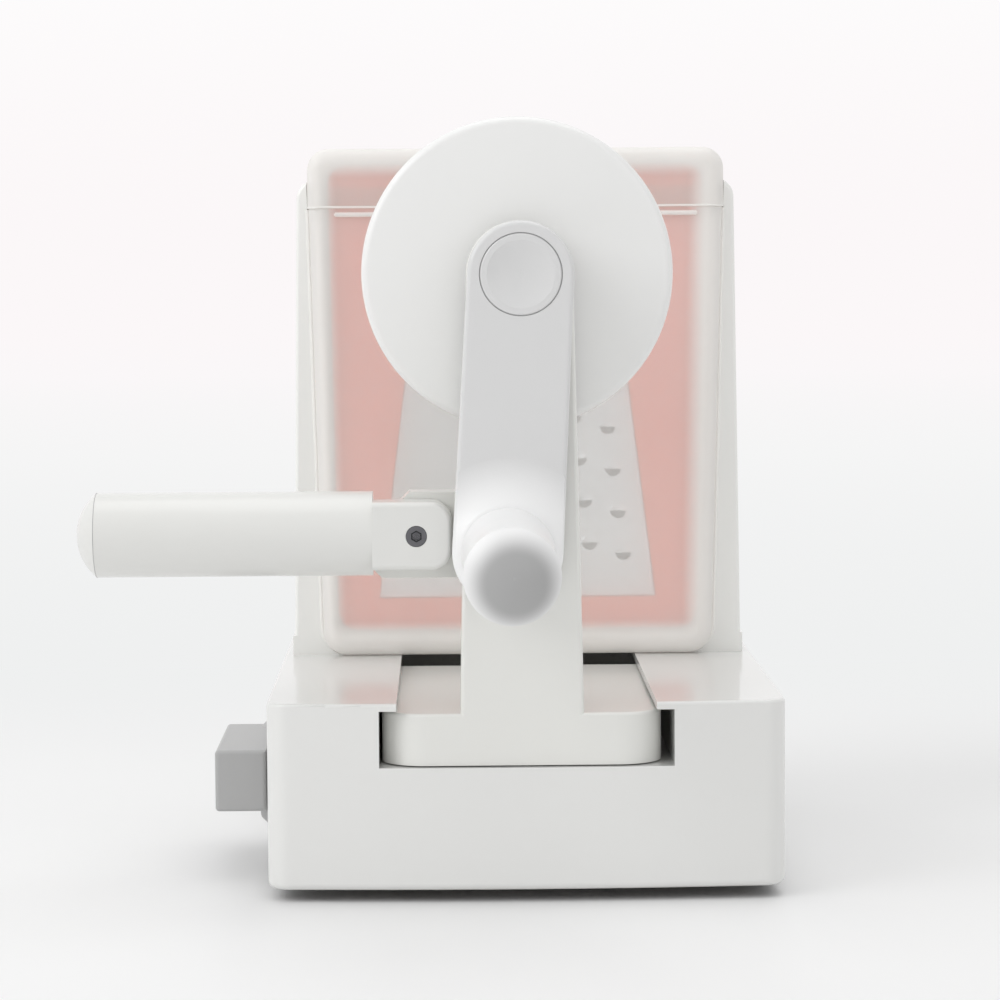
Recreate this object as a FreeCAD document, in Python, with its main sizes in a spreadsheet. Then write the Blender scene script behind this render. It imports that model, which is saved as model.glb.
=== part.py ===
import FreeCAD, Part
import math
import os
from types import SimpleNamespace

import Sketcher
from FreeCAD import Placement, Rotation, Vector

# A hand cranked spiralizer, in millimetres. +Z is up, +Y runs from the crank end to the blade tower,
# and the origin is on the table under the middle of the suction cup.
DRIVING_SIZES = (
    # base
    ("base_margin", 3.3, "the base stands out this far beside the tower"),
    ("base_length", 196.0, "length of the base, front to back"),
    ("front_reach", 88.0, "front of the base, measured from the suction cup's axis"),
    ("base_height", 55.0, "skirt edge to deck"),
    ("skirt_gap", 3.5, "skirt edge above the table"),
    ("shell_wall", 2.6, "wall of the base shell"),
    ("deck_wall", 2.2, "thickness of the deck and of the lips beside the slot"),
    ("corner_round", 7.0, "plan radius of the front corners"),
    ("rear_round", 14.0, "plan radius of the rear corners"),
    ("front_bow", 2.5, "how far the front face bows out"),
    ("deck_edge", 1.0, "rounding along the deck's rim"),
    ("skirt_edge", 2.2, "rounding along the skirt's rim"),
    ("trough_width", 86.0, "inside width of the trough that the carriage runs in"),
    ("trough_depth", 18.8, "deck to trough floor"),
    ("slot_width", 75.8, "slot between the two deck lips"),
    ("slot_end", 60.0, "where the deck slot ends, under the stored box"),
    ("boss_radius", 4.0, "screw bosses inside the base"),
    ("boss_inset", 9.0, "screw bosses from the side wall"),
    # bottom cover, feet and suction
    ("cover_height", 10.0, "underside of the bottom cover above the table"),
    ("cover_wall", 2.5, "thickness of the bottom cover"),
    ("cover_gap", 0.4, "gap between the bottom cover and the base wall"),
    ("foot_radius", 6.5, "rubber feet"),
    ("foot_inset", 20.0, "rubber feet from the sides of the base"),
    ("screw_radius", 1.2, "core of the self-tapping screws"),
    ("screw_head", 3.0, "screw head radius"),
    ("screw_head_tall", 2.0, "screw head height"),
    ("screw_grip", 9.0, "how deep the screws hold"),
    ("screw_fit", 0.1, "gap round a screw in its hole"),
    ("cup_radius", 54.0, "suction cup"),
    ("plunger_radius", 3.0, "stem of the plunger"),
    ("lever_height", 25.0, "axis of the suction lever above the table"),
    ("shaft_radius", 3.5, "lever shaft"),
    ("cam_radius", 6.0, "cam on the lever shaft"),
    ("cam_throw", 2.0, "how far the cam lifts the plunger"),
    ("yoke_wall", 2.0, "bars of the plunger's yoke"),
    ("yoke_deep", 7.0, "yoke, along the shaft"),
    ("cam_play", 0.8, "gap between the cam and the plunger's yoke"),
    ("running_gap", 0.05, "radial clearance of a pin or shaft in its bearing"),
    # suction lever
    ("lever_gap", 0.6, "lever boss to base wall"),
    ("lever_boss_radius", 17.0, "round boss of the lever"),
    ("lever_boss_out", 5.6, "boss depth away from the base"),
    ("lever_bar_gap", 1.9, "bar to base wall"),
    ("lever_bar_wide", 15.4, "bar, across"),
    ("lever_bar_tall", 18.6, "bar, up and down"),
    ("lever_bar_rise", 5.5, "middle of the bar above the shaft"),
    ("lever_reach", 52.0, "free end of the lever from its shaft"),
    ("lever_tail", 8.0, "bar beyond the shaft"),
    ("lever_edge", 1.2, "rounding of the lever"),
    # tower
    ("tower_front", 28.0, "front face of the tower"),
    ("tower_deep", 60.0, "tower, front to back"),
    ("tower_over_box", 9.4, "top of the tower above the box's lid seam"),
    ("tower_foot_wide", 145.4, "tower width at the deck"),
    ("tower_top_wide", 141.0, "tower width at the top"),
    ("tower_round", 6.0, "top corners of the tower"),
    ("flange_out", 0.5, "foot flange of the tower beyond its side"),
    ("flange_tall", 6.4, "foot flange of the tower, height"),
    ("tower_edge", 1.2, "rounding of the tower's edges"),
    ("blade_slot", 9.4, "slot that takes a cutter plate, front to back"),
    ("blade_slot_back", 14.0, "wall behind the cutter slot"),
    ("window_half", 46.0, "half the width of the tower's exit window"),
    ("window_low", 18.0, "exit window's sill above the deck"),
    ("window_head", 14.0, "wall above the exit window"),
    ("window_round", 14.0, "corners of the exit window"),
    # storage box
    ("box_front", 22.0, "front of the storage box"),
    ("box_deep", 38.0, "box, front to back"),
    ("cheek_top", 3.9, "side of the tower to the box at the top"),
    ("cheek_foot", 9.5, "side of the tower to the box at the deck"),
    ("box_tall", 144.6, "box body, bottom to lid seam"),
    ("box_wall", 1.8, "wall of the box"),
    ("box_round", 8.0, "bottom corners of the box"),
    ("box_edge", 5.0, "upright corners of the box"),
    ("box_clear", 0.4, "gap between the box and the tower's recess"),
    ("box_rest", 0.1, "gap under the box"),
    ("neck_tall", 7.0, "rim of the box inside the lid"),
    ("lid_tall", 19.2, "lid height"),
    ("lid_proud", 0.4, "lid stands out from the box"),
    ("lid_round", 6.8, "top corners of the lid"),
    ("lid_fit", 0.35, "gap between the rim and the lid"),
    # cutter plates
    ("plate_deep", 8.4, "cutter plate, front to back"),
    ("plate_pitch", 11.0, "from one stored plate to the next"),
    ("plate_start", 3.8, "first plate from the box's front"),
    ("plate_foot", 6.6, "plate above the box floor"),
    ("plate_over_box", 5.4, "plate taller than the box body"),
    ("plate_side_top", 6.2, "side of the box to the plate at the top"),
    ("plate_side_foot", 5.2, "side of the box to the plate at its foot"),
    ("plate_round", 6.0, "corners of the plate"),
    ("mouth_low", 14.0, "sill of the plate's window"),
    ("mouth_head", 16.0, "plate above its window"),
    ("mouth_foot_half", 41.0, "half the window width at its sill"),
    ("mouth_top_half", 25.0, "half the window width at its head"),
    ("mouth_ledge", 4.0, "ledge that the steel sits on"),
    ("steel_deep", 1.2, "steel sheet"),
    ("steel_set", 2.6, "steel below the plate's face"),
    ("steel_fit", 0.2, "gap round the steel"),
    ("core_height", 112.0, "coring tube above the plate's foot"),
    ("core_radius", 6.0, "coring tube"),
    ("core_wall", 1.0, "wall of the coring tube"),
    ("core_long", 5.4, "coring tube's length"),
    ("tooth_hole", 2.5, "punched holes"),
    ("tooth_pitch", 13.7, "from one row of punched holes to the next"),
    # carriage
    ("carriage_shift", 1.2, "carriage sits this far to the left in its trough"),
    ("sled_wide", 82.3, "sled width"),
    ("sled_long", 110.0, "sled length"),
    ("sled_front", 2.0, "sled front behind the front of the base"),
    ("sled_lift", 0.4, "gap under the sled"),
    ("sled_tall", 15.2, "sled height"),
    ("sled_round", 13.0, "front corners of the sled"),
    ("sled_edge", 1.0, "rounding along the sled's top"),
    ("sled_wall", 2.8, "wall of the sled"),
    ("post_foot_half", 18.0, "half the post width at the sled"),
    ("post_top_radius", 15.4, "round top of the post"),
    ("post_deep", 30.0, "post, front to back"),
    ("post_wall", 3.0, "wall of the post"),
    ("post_cover_deep", 2.0, "cover on the back of the post"),
    ("post_edge", 1.2, "rounding of the post's front edges"),
    ("part_gap", 0.2, "gap round a cover in its seat"),
    ("hub_height", 124.3, "crank axis above the deck"),
    ("bearing_radius", 8.0, "bearing tube's bore"),
    ("bearing_wall", 3.0, "wall of the bearing tube"),
    ("bush_long", 8.0, "bearing bush"),
    ("bush_flange", 2.0, "flange of the bush"),
    ("bush_flange_radius", 11.0, "flange of the bush, radius"),
    # crank
    ("crank_gap", 2.5, "arm to post"),
    ("crank_deep", 12.0, "arm, front to back"),
    ("crank_top_radius", 15.2, "arm's round end at the hub"),
    ("crank_foot_radius", 15.9, "arm's round end at the grip"),
    ("crank_long", 79.4, "crank axis to grip axis"),
    ("crank_lean", 3.03, "how far the arm hangs from plumb, in degrees"),
    ("crank_wall", 2.6, "wall of the arm"),
    ("crank_edge", 1.3, "rounding of the arm's front edge"),
    ("crank_cover_deep", 1.8, "cover on the back of the arm"),
    ("axle_radius", 6.0, "crank shaft"),
    ("axle_bore", 2.7, "bore of the crank shaft"),
    ("axle_seat", 4.0, "crank shaft inside the arm"),
    ("rod_radius", 2.5, "push rod"),
    ("button_radius", 11.7, "release button"),
    ("button_gap", 0.2, "seam round the button"),
    ("button_deep", 3.4, "button thickness"),
    ("button_well", 8.0, "depth of the button's well"),
    ("button_travel", 2.0, "button travel"),
    ("dish_radius", 9.7, "finger dish in the button"),
    ("dish_deep", 1.5, "depth of the finger dish"),
    ("spring_radius", 8.5, "button spring, middle of the wire"),
    ("spring_wire", 0.7, "button spring wire radius"),
    # grip
    ("flare_tall", 4.5, "flared boss on the arm under the grip"),
    ("flare_top_radius", 13.6, "radius of the flared boss at its top"),
    ("grip_gap", 0.4, "gap between the boss and the grip"),
    ("grip_long", 67.0, "grip length"),
    ("grip_root_radius", 13.4, "grip radius at its root"),
    ("grip_waist_radius", 12.5, "grip radius at its waist"),
    ("grip_tip_radius", 13.1, "grip radius at its tip"),
    ("grip_dome", 5.0, "rise of the grip's domed end"),
    ("spindle_radius", 4.0, "grip spindle"),
    ("spindle_head", 6.5, "head of the spindle"),
    ("spindle_head_deep", 2.0, "head thickness"),
    ("spindle_long", 52.0, "spindle inside the grip"),
    # food holder
    ("disc_radius", 46.6, "food holder disc"),
    ("disc_deep", 5.0, "disc thickness"),
    ("disc_gap", 4.5, "disc to post"),
    ("disc_edge", 1.1, "rounding of the disc's rim"),
    ("disc_hub_radius", 12.0, "hub on the disc"),
    ("hub_gap", 0.5, "disc hub to bush"),
    ("prong_plate_radius", 32.0, "plate that carries the prongs"),
    ("prong_plate_deep", 2.0, "plate thickness"),
    ("prong_ring", 25.0, "outer ring of prongs"),
    ("prong_inner_ring", 10.0, "inner ring of prongs"),
    ("prong_long", 16.0, "prong length"),
    ("prong_radius", 2.2, "prong radius at its root"),
    ("prong_tip", 0.5, "prong radius at its tip"),
    # side handle
    ("handle_height", 48.8, "side handle's axis above the deck"),
    ("handle_back", 11.0, "side handle's axis behind the post's front"),
    ("handle_pivot", 30.4, "hinge pin from the crank axis, sideways"),
    ("handle_radius", 12.36, "side handle tube"),
    ("handle_wall", 2.3, "wall of the tube"),
    ("handle_near", 12.8, "tube's near end from the hinge pin"),
    ("handle_far", 93.4, "tube's far end from the hinge pin"),
    ("handle_dome", 5.9, "rise of the domed end cap"),
    ("handle_fit", 0.1, "gap between the tube and what plugs into it"),
    ("cap_spigot", 8.0, "end cap inside the tube"),
    ("plug_long", 34.0, "plug inside the tube"),
    ("tongue_half", 9.9, "half the height of the tongue"),
    ("tongue_edge", 1.6, "rounding of the tongue's front edges"),
    ("tongue_deep", 12.0, "tongue, front to back"),
    ("tongue_end", 10.5, "tongue's end beyond the pin"),
    ("tongue_round", 6.4, "corners of the tongue's end"),
    ("pin_radius", 2.2, "hinge pin"),
    ("pin_head", 3.0, "head of the hinge pin"),
    ("pin_head_deep", 2.8, "head thickness"),
    ("pin_socket", 1.6, "hex socket, across corners over two"),
    ("bracket_deep", 12.0, "hinge bracket, front to back"),
    ("bracket_low", 13.2, "bracket below the pin"),
    ("bracket_high", 11.9, "bracket above the pin"),
    ("bracket_bevel", 2.4, "corners cut from the bracket"),
    ("bracket_top_out", 4.6, "top of the bracket beyond the pin"),
    ("hinge_gap", 0.3, "tongue to bracket"),
)


class Size:
    """A size of the sheet, or a sum of sizes: its number and the expression that gives it."""

    def __init__(self, number, text):
        self.number = number
        self.text = text

    @staticmethod
    def of(value):
        return value if isinstance(value, Size) else Size(float(value), repr(float(value)))

    def __float__(self):
        return self.number

    def __neg__(self):
        return Size(-self.number, f"(-{self.text})")

    def __add__(self, other):
        other = Size.of(other)
        return Size(self.number + other.number, f"({self.text} + {other.text})")

    def __radd__(self, other):
        return Size.of(other) + self

    def __sub__(self, other):
        other = Size.of(other)
        return Size(self.number - other.number, f"({self.text} - {other.text})")

    def __rsub__(self, other):
        return Size.of(other) - self

    def __mul__(self, other):
        other = Size.of(other)
        return Size(self.number * other.number, f"({self.text} * {other.text})")

    def __rmul__(self, other):
        return Size.of(other) * self

    def __truediv__(self, other):
        other = Size.of(other)
        return Size(self.number / other.number, f"({self.text} / {other.text})")


doc = FreeCAD.newDocument("spiralizer")
sheet = doc.addObject("Spreadsheet::Sheet", "Sizes")
for row, (alias, number, note) in enumerate(DRIVING_SIZES, 1):
    sheet.set(f"A{row}", alias)
    sheet.set(f"B{row}", str(number))
    sheet.set(f"C{row}", note)
    sheet.setAlias(f"B{row}", alias)
doc.recompute()
s = SimpleNamespace(**{alias: Size(number, f"Sizes.{alias}") for alias, number, note in DRIVING_SIZES})

TINY = 1e-4
parts = []


def bind(thing, name, size):
    """Tie one property to the sheet."""
    thing.setExpression(name, Size.of(size).text)


def new_body(label, at=(0, 0, 0), turn=None):
    """An empty body; at is where its own origin goes, turn a fixed rotation or one about Y by a Size."""
    body = doc.addObject("PartDesign::Body", label)
    body.Label = label
    if isinstance(turn, Size):
        body.Placement = Placement(Vector(), Rotation(Vector(0, 1, 0), float(turn)))
        bind(body, "Placement.Rotation.Angle", turn)
    elif turn is not None:
        body.Placement = Placement(Vector(), turn)
    for name, size in zip("xyz", at):
        bind(body, f"Placement.Base.{name}", size)
    parts.append(body)
    return body


def new_sketch(body, plane, offset=0):
    """A sketch on one of the body's origin planes, moved along that plane's axis."""
    sketch = body.newObject("Sketcher::SketchObject", "Sketch")
    support = [item for item in body.Origin.OriginFeatures if item.Role == f"{plane}_Plane"]
    sketch.AttachmentSupport = [(support[0], "")]
    sketch.MapMode = "FlatFace"
    lift = Size.of(offset)
    bind(sketch, "AttachmentOffset.Base.z", -lift if plane == "XZ" else lift)
    return sketch


def hold_point(sketch, piece, end, u, v):
    """Fix one point of a sketch by its two coordinates."""
    for kind, size in (("DistanceX", Size.of(u)), ("DistanceY", Size.of(v))):
        number = sketch.addConstraint(Sketcher.Constraint(kind, -1, 1, piece, end, float(size)))
        sketch.setExpression(f"Constraints[{number}]", size.text)


def hold_radius(sketch, piece, radius):
    number = sketch.addConstraint(Sketcher.Constraint("Radius", piece, float(radius)))
    sketch.setExpression(f"Constraints[{number}]", Size.of(radius).text)


def arc_between(start, stop, radius, left):
    """The short arc from start to stop, with its centre on the left or right of the way."""
    way = stop - start
    half = way.Length / 2
    side = Vector(-way.y, way.x, 0).normalize() * (1 if left else -1)
    rise = math.sqrt(max(radius * radius - half * half, 0))
    middle = (start + stop) * 0.5 + side * (rise - radius)
    return Part.Arc(start, middle, stop)


def outline(corners, arcs=None):
    """A closed run of straight lines; arcs gives {corner number: (radius, "left" or "right")}."""
    arcs = arcs or {}

    def draw(sketch):
        points = [Vector(float(u), float(v), 0) for u, v in corners]
        pieces = []
        for number, start in enumerate(points):
            stop = points[(number + 1) % len(points)]
            if number in arcs:
                radius, side = arcs[number]
                shape = arc_between(start, stop, float(radius), side == "left")
            else:
                shape = Part.LineSegment(start, stop)
            piece = sketch.addGeometry(shape)
            # an arc drawn clockwise is stored with its ends swapped
            begin = sketch.getPoint(piece, 1)
            first, last = (1, 2) if begin.distanceToPoint(start) < TINY else (2, 1)
            pieces.append((piece, first, last))
        for number, (piece, first, last) in enumerate(pieces):
            after, after_first, _ = pieces[(number + 1) % len(pieces)]
            sketch.addConstraint(Sketcher.Constraint("Coincident", piece, last, after, after_first))
            hold_point(sketch, piece, first, *corners[number])
            if number in arcs:
                hold_radius(sketch, piece, arcs[number][0])

    return draw


def rectangle(left, right, low, high):
    return outline([(left, low), (right, low), (right, high), (left, high)])


def circle(u, v, radius):
    def draw(sketch):
        piece = sketch.addGeometry(Part.Circle(Vector(float(u), float(v), 0), Vector(0, 0, 1), float(radius)))
        hold_point(sketch, piece, 3, u, v)
        hold_radius(sketch, piece, radius)

    return draw


def extrude(body, plane, low, high, *shapes, cut=False):
    """Pad or pocket the drawn shapes from low to high along the plane's axis."""
    low, high = Size.of(low), Size.of(high)
    from_high = (plane == "XZ") != cut
    sketch = new_sketch(body, plane, high if from_high else low)
    if cut and plane != "XZ":
        bind(sketch, "AttachmentOffset.Base.z", high)
    if cut and plane == "XZ":
        bind(sketch, "AttachmentOffset.Base.z", -low)
    for draw in shapes:
        draw(sketch)
    feature = body.newObject("PartDesign::Pocket" if cut else "PartDesign::Pad", "Cut" if cut else "Pad")
    feature.Profile = sketch
    bind(feature, "Length", high - low)
    doc.recompute()
    return feature


def revolve(body, plane, axis, *shapes, cut=False, about=None):
    """Turn the drawn shapes about H_Axis or V_Axis, or about a line at the height that about gives."""
    sketch = new_sketch(body, plane)
    for draw in shapes:
        draw(sketch)
    if about is not None:
        start, stop = Vector(0, float(about), 0), Vector(float(about), float(about), 0)
        line = sketch.addGeometry(Part.LineSegment(start, stop), True)
        hold_point(sketch, line, 1, 0, about)
        hold_point(sketch, line, 2, about, about)
        axis = "Axis0"
    feature = body.newObject("PartDesign::Groove" if cut else "PartDesign::Revolution", "Turn")
    feature.Profile = sketch
    feature.ReferenceAxis = (sketch, [axis])
    feature.Angle = 360
    doc.recompute()
    return feature


def round_edges(body, radius, wanted, chamfer=False):
    """Round or bevel the edges of the body so far that the test picks."""
    doc.recompute()
    base = body.Tip
    names = [f"Edge{number}" for number, edge in enumerate(base.Shape.Edges, 1) if wanted(edge)]
    if not names:
        raise RuntimeError(f"{body.Label}: no edge to round")
    feature = body.newObject("PartDesign::Chamfer" if chamfer else "PartDesign::Fillet", "Round")
    feature.Base = (base, names)
    bind(feature, "Size" if chamfer else "Radius", radius)
    doc.recompute()
    return feature


def lies(edge, **where):
    """True if the whole edge lies at the given x, y or z."""
    box = edge.BoundBox
    for name, size in where.items():
        low, high = {"x": (box.XMin, box.XMax), "y": (box.YMin, box.YMax), "z": (box.ZMin, box.ZMax)}[name]
        if abs(low - float(size)) > 0.01 or abs(high - float(size)) > 0.01:
            return False
    return True


def runs(edge, axis):
    """True if the edge is straight and runs along the axis."""
    box = edge.BoundBox
    spans = {"x": box.XLength, "y": box.YLength, "z": box.ZLength}
    others = [span for name, span in spans.items() if name != axis]
    return spans[axis] > 0.5 and max(others) < 0.01


def middle(edge):
    return edge.BoundBox.Center


def add_group(label, shapes):
    """Several like solids that share one node."""
    group = doc.addObject("Part::Feature", label)
    group.Label = label
    group.Shape = Part.makeCompound(shapes)
    group.Placement = Placement()
    parts.append(group)
    return group


def screw_shape(head_radius, head_tall, core_radius, long):
    """A pan head screw that points along +Z, its seat at the origin."""
    head = Part.makeCylinder(head_radius, head_tall, Vector(0, 0, -head_tall))
    head = head.makeFillet(head_tall * 0.4, [edge for edge in head.Edges if lies(edge, z=-head_tall)])
    tip = core_radius * 1.2
    core = Part.makeCylinder(core_radius, long - tip)
    point = Part.makeCone(core_radius, core_radius * 0.3, tip, Vector(0, 0, long - tip))
    slot = Part.makeBox(head_radius * 1.2, 0.6, head_tall * 0.4)
    slot.translate(Vector(-head_radius * 0.6, -0.3, -head_tall))
    cross = slot.copy()
    cross.rotate(Vector(), Vector(0, 0, 1), 90)
    return head.fuse([core, point]).removeSplitter().cut([slot, cross])


def placed(shape, x, y, z, rotation=None):
    copy = shape.copy()
    copy.Placement = Placement(Vector(float(x), float(y), float(z)), rotation or Rotation())
    return copy


# Places worked out from the driving sizes
deck = s.skirt_gap + s.base_height
deck_under = deck - s.deck_wall
floor = deck - s.trough_depth
base_front = -s.front_reach
base_rear = base_front + s.base_length
half_base = s.tower_foot_wide / 2 + s.base_margin
cover_top = s.cover_height + s.cover_wall
carriage_x = -s.carriage_shift
sled_low = floor + s.sled_lift
sled_top = sled_low + s.sled_tall
post_front = base_front + s.sled_front
post_back = post_front + s.post_deep
hub_z = deck + s.hub_height
crank_back = post_front - s.crank_gap
crank_front = crank_back - s.crank_deep
disc_front = post_back + s.disc_gap
disc_back = disc_front + s.disc_deep
tower_back = s.tower_front + s.tower_deep
tower_height = s.box_tall + s.tower_over_box
window_high = tower_height - s.window_head
box_top_half = s.tower_top_wide / 2 - s.cheek_top
box_foot_half = s.tower_foot_wide / 2 - s.cheek_foot
plate_tall = s.box_tall + s.plate_over_box
plate_top_half = box_top_half - s.plate_side_top
plate_foot_half = box_foot_half - s.plate_side_foot
mouth_high = plate_tall - s.mouth_head
box_back = s.box_front + s.box_deep
box_low = deck + s.box_rest
box_seam = box_low + s.box_tall
handle_y = post_front + s.handle_back
handle_z = deck + s.handle_height
pivot_x = carriage_x - s.handle_pivot
tongue_back = handle_y - s.hinge_gap
tongue_front = tongue_back - s.tongue_deep
hub_place = (carriage_x, 0, hub_z)


def base_plan(inset):
    """Plan of the base: square sides, rounded corners and a front that bows out."""
    side = half_base - inset
    front_corner = s.corner_round - inset
    rear_corner = s.rear_round - inset
    tangent = base_front + s.front_bow + s.corner_round
    low = tangent - front_corner
    rear = base_rear - inset
    half_front = side - front_corner
    bow_radius = (half_front * half_front + s.front_bow * s.front_bow) / (2 * s.front_bow)
    corners = [
        (-side, tangent), (-half_front, low), (half_front, low), (side, tangent),
        (side, rear - rear_corner), (side - rear_corner, rear), (rear_corner - side, rear),
        (-side, rear - rear_corner),
    ]
    arcs = {
        0: (front_corner, "left"), 1: (bow_radius, "left"), 2: (front_corner, "left"),
        4: (rear_corner, "left"), 6: (rear_corner, "left"),
    }
    return outline(corners, arcs)


def cover_screw_places():
    side = half_base - s.boss_inset
    front = base_front + s.front_bow + s.corner_round + s.boss_inset
    rear = base_rear - s.rear_round
    return [(-side, front), (side, front), (-side, rear), (side, rear)]


def tower_screw_places():
    side = s.tower_foot_wide / 2 - s.boss_radius - 0.6
    front = s.tower_front + s.boss_radius * 2
    rear = tower_back - s.boss_radius * 2
    return [(-side, front), (side, front), (-side, rear), (side, rear)]


def foot_places():
    side = half_base - s.foot_inset
    front = base_front + s.front_bow + s.foot_inset + s.foot_radius
    rear = base_rear - s.foot_inset
    return [(-side, front), (side, front), (-side, rear), (side, rear)]


def base_housing():
    body = new_body("base_housing")
    extrude(body, "XY", s.skirt_gap, deck, base_plan(Size.of(0)))
    round_edges(body, s.deck_edge, lambda edge: lies(edge, z=deck))
    round_edges(body, s.skirt_edge, lambda edge: lies(edge, z=s.skirt_gap))
    extrude(body, "XY", s.skirt_gap - 1, deck_under, base_plan(s.shell_wall), cut=True)
    block_half = s.trough_width / 2 + s.shell_wall
    block_front = base_front + s.shell_wall - 0.5
    extrude(body, "XY", floor - s.shell_wall, deck_under + 0.5,
            rectangle(-block_half, block_half, block_front, base_rear - 1))
    bearing = s.shaft_radius + s.running_gap
    pillar = bearing + s.shell_wall
    extrude(body, "XY", cover_top, deck_under + 0.5,
            *[circle(x, y, s.boss_radius) for x, y in cover_screw_places()])
    extrude(body, "YZ", 3 * s.cam_radius, 4 * s.cam_radius,
            rectangle(-pillar, pillar, s.lever_height - pillar, floor - s.shell_wall + 0.5))
    extrude(body, "YZ", -half_base + 1, 10 - half_base, circle(0, s.lever_height, pillar))
    extrude(body, "XZ", base_front - 1, base_rear - s.shell_wall,
            rectangle(-s.trough_width / 2, s.trough_width / 2, floor, deck_under), cut=True)
    extrude(body, "XY", floor + 1, deck + 1,
            rectangle(-s.slot_width / 2, s.slot_width / 2, base_front - 1, s.slot_end), cut=True)
    extrude(body, "YZ", -half_base - 1, 4 * s.cam_radius + 1, circle(0, s.lever_height, bearing), cut=True)
    pilot = s.screw_radius + s.screw_fit / 2
    extrude(body, "XY", cover_top - 1, cover_top + s.screw_grip,
            *[circle(x, y, pilot) for x, y in cover_screw_places()], cut=True)
    extrude(body, "XY", deck_under - 1, deck + 1,
            *[circle(x, y, pilot) for x, y in tower_screw_places()], cut=True)


def bottom_cover():
    body = new_body("bottom_cover")
    extrude(body, "XY", s.cover_height, cover_top, base_plan(s.shell_wall + s.cover_gap))
    press = s.cup_radius * 0.8
    extrude(body, "XY", s.cover_height - 3.5, s.cover_height + 0.5,
            circle(0, 0, press), circle(0, 0, press - s.cover_wall))
    extrude(body, "XY", s.cover_height - 1, cover_top + 1,
            circle(0, 0, s.plunger_radius + 4 * s.running_gap),
            *[circle(x, y, s.screw_radius + s.screw_fit) for x, y in cover_screw_places()],
            *[circle(x, y, s.foot_radius / 3) for x, y in foot_places()], cut=True)


def rubber_feet():
    pad = Part.makeCylinder(float(s.foot_radius), float(s.cover_height))
    pad = pad.makeChamfer(0.8, [edge for edge in pad.Edges if lies(edge, z=0)])
    stem = Part.makeCylinder(float(s.foot_radius) / 3, float(s.cover_wall), Vector(0, 0, float(s.cover_height)))
    foot = pad.fuse(stem)
    add_group("rubber_feet", [placed(foot, x, y, 0) for x, y in foot_places()])


def cover_screws():
    screw = screw_shape(float(s.screw_head), float(s.screw_head_tall), float(s.screw_radius),
                        float(s.cover_wall + s.screw_grip) - 0.5)
    add_group("cover_screws", [placed(screw, x, y, s.cover_height) for x, y in cover_screw_places()])


def suction_cup():
    """A dished rubber cup, thick at the hub and thin at the lip."""
    body = new_body("suction_cup")
    bore = s.plunger_radius
    tall = s.cover_height
    corners = [
        (bore, tall * 0.3), (s.cup_radius * 0.55, tall * 0.26), (s.cup_radius * 0.9, tall * 0.1),
        (s.cup_radius, 0), (s.cup_radius * 1.02, tall * 0.08), (s.cup_radius * 0.88, tall * 0.42),
        (s.cup_radius * 0.4, tall * 0.64), (s.plunger_radius * 3, tall * 0.94), (bore, tall * 0.94),
    ]
    revolve(body, "XZ", "V_Axis", outline(corners))


def plunger():
    """The stem in the cup and the yoke that the cam lifts."""
    body = new_body("plunger")
    yoke_half = s.cam_radius + s.cam_throw + s.cam_play
    window_low = s.lever_height - s.cam_radius - s.cam_play
    window_high = s.lever_height + s.cam_radius + s.cam_play
    bar = s.yoke_wall
    extrude(body, "YZ", -s.yoke_deep / 2, s.yoke_deep / 2,
            rectangle(-yoke_half - bar, yoke_half + bar, window_low - bar, window_high + bar),
            rectangle(-yoke_half, yoke_half, window_low, window_high))
    extrude(body, "XY", s.cover_height * 0.34, window_low - bar / 2, circle(0, 0, s.plunger_radius))


def cam_shaft():
    body = new_body("cam_shaft", (0, 0, s.lever_height))
    extrude(body, "YZ", -half_base - s.lever_bar_gap - s.lever_bar_wide * 0.7, 4 * s.cam_radius,
            circle(0, 0, s.shaft_radius))
    cam_half = s.yoke_deep / 2 - s.running_gap * 10
    extrude(body, "YZ", -cam_half, cam_half, circle(-s.cam_throw, 0, s.cam_radius))
    end = half_base + s.lever_bar_gap + s.lever_bar_wide * 0.7
    extrude(body, "YZ", -end - 1, s.screw_grip - end, circle(0, 0, s.screw_radius + s.screw_fit / 2), cut=True)


def suction_lever():
    body = new_body("suction_lever", (0, 0, s.lever_height))
    near = -half_base - s.lever_gap
    bar_near = -half_base - s.lever_bar_gap
    bar_far = bar_near - s.lever_bar_wide
    low = s.lever_bar_rise - s.lever_bar_tall / 2
    high = s.lever_bar_rise + s.lever_bar_tall / 2
    extrude(body, "YZ", bar_far, bar_near, rectangle(-s.lever_reach, s.lever_tail, low, high))
    round_edges(body, s.lever_bar_tall * 0.3, lambda edge: runs(edge, "x") and middle(edge).y > 0)
    extrude(body, "YZ", near - s.lever_boss_out, near, circle(0, 0, s.lever_boss_radius))
    round_edges(body, s.lever_boss_out * 0.45, lambda edge: lies(edge, x=near - s.lever_boss_out)
                and edge.BoundBox.ZMin < float(low) - 1, chamfer=True)
    round_edges(body, s.lever_edge, lambda edge: lies(edge, x=bar_far) or lies(edge, y=-s.lever_reach))
    socket = half_base + s.lever_bar_gap + s.lever_bar_wide * 0.7
    extrude(body, "YZ", -socket, near + 1, circle(0, 0, s.shaft_radius), cut=True)
    extrude(body, "YZ", bar_far - 1, -socket + 1, circle(0, 0, s.screw_radius + s.screw_fit), cut=True)
    extrude(body, "YZ", bar_far - 1, bar_far + s.screw_head_tall, circle(0, 0, s.screw_head + 0.3), cut=True)


def lever_screw():
    seat = -half_base - s.lever_bar_gap - s.lever_bar_wide + s.screw_head_tall
    screw = screw_shape(float(s.screw_head), float(s.screw_head_tall) - 0.3, float(s.screw_radius),
                        float(s.lever_bar_wide * 0.3 - s.screw_head_tall + s.screw_grip) - 1)
    add_group("lever_screw", [placed(screw, seat, 0, s.lever_height, Rotation(Vector(0, 1, 0), 90))])


def tower_half(height):
    """Half the tower's width at a height above the deck."""
    return (s.tower_foot_wide - (s.tower_foot_wide - s.tower_top_wide) * height / tower_height) / 2


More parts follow.
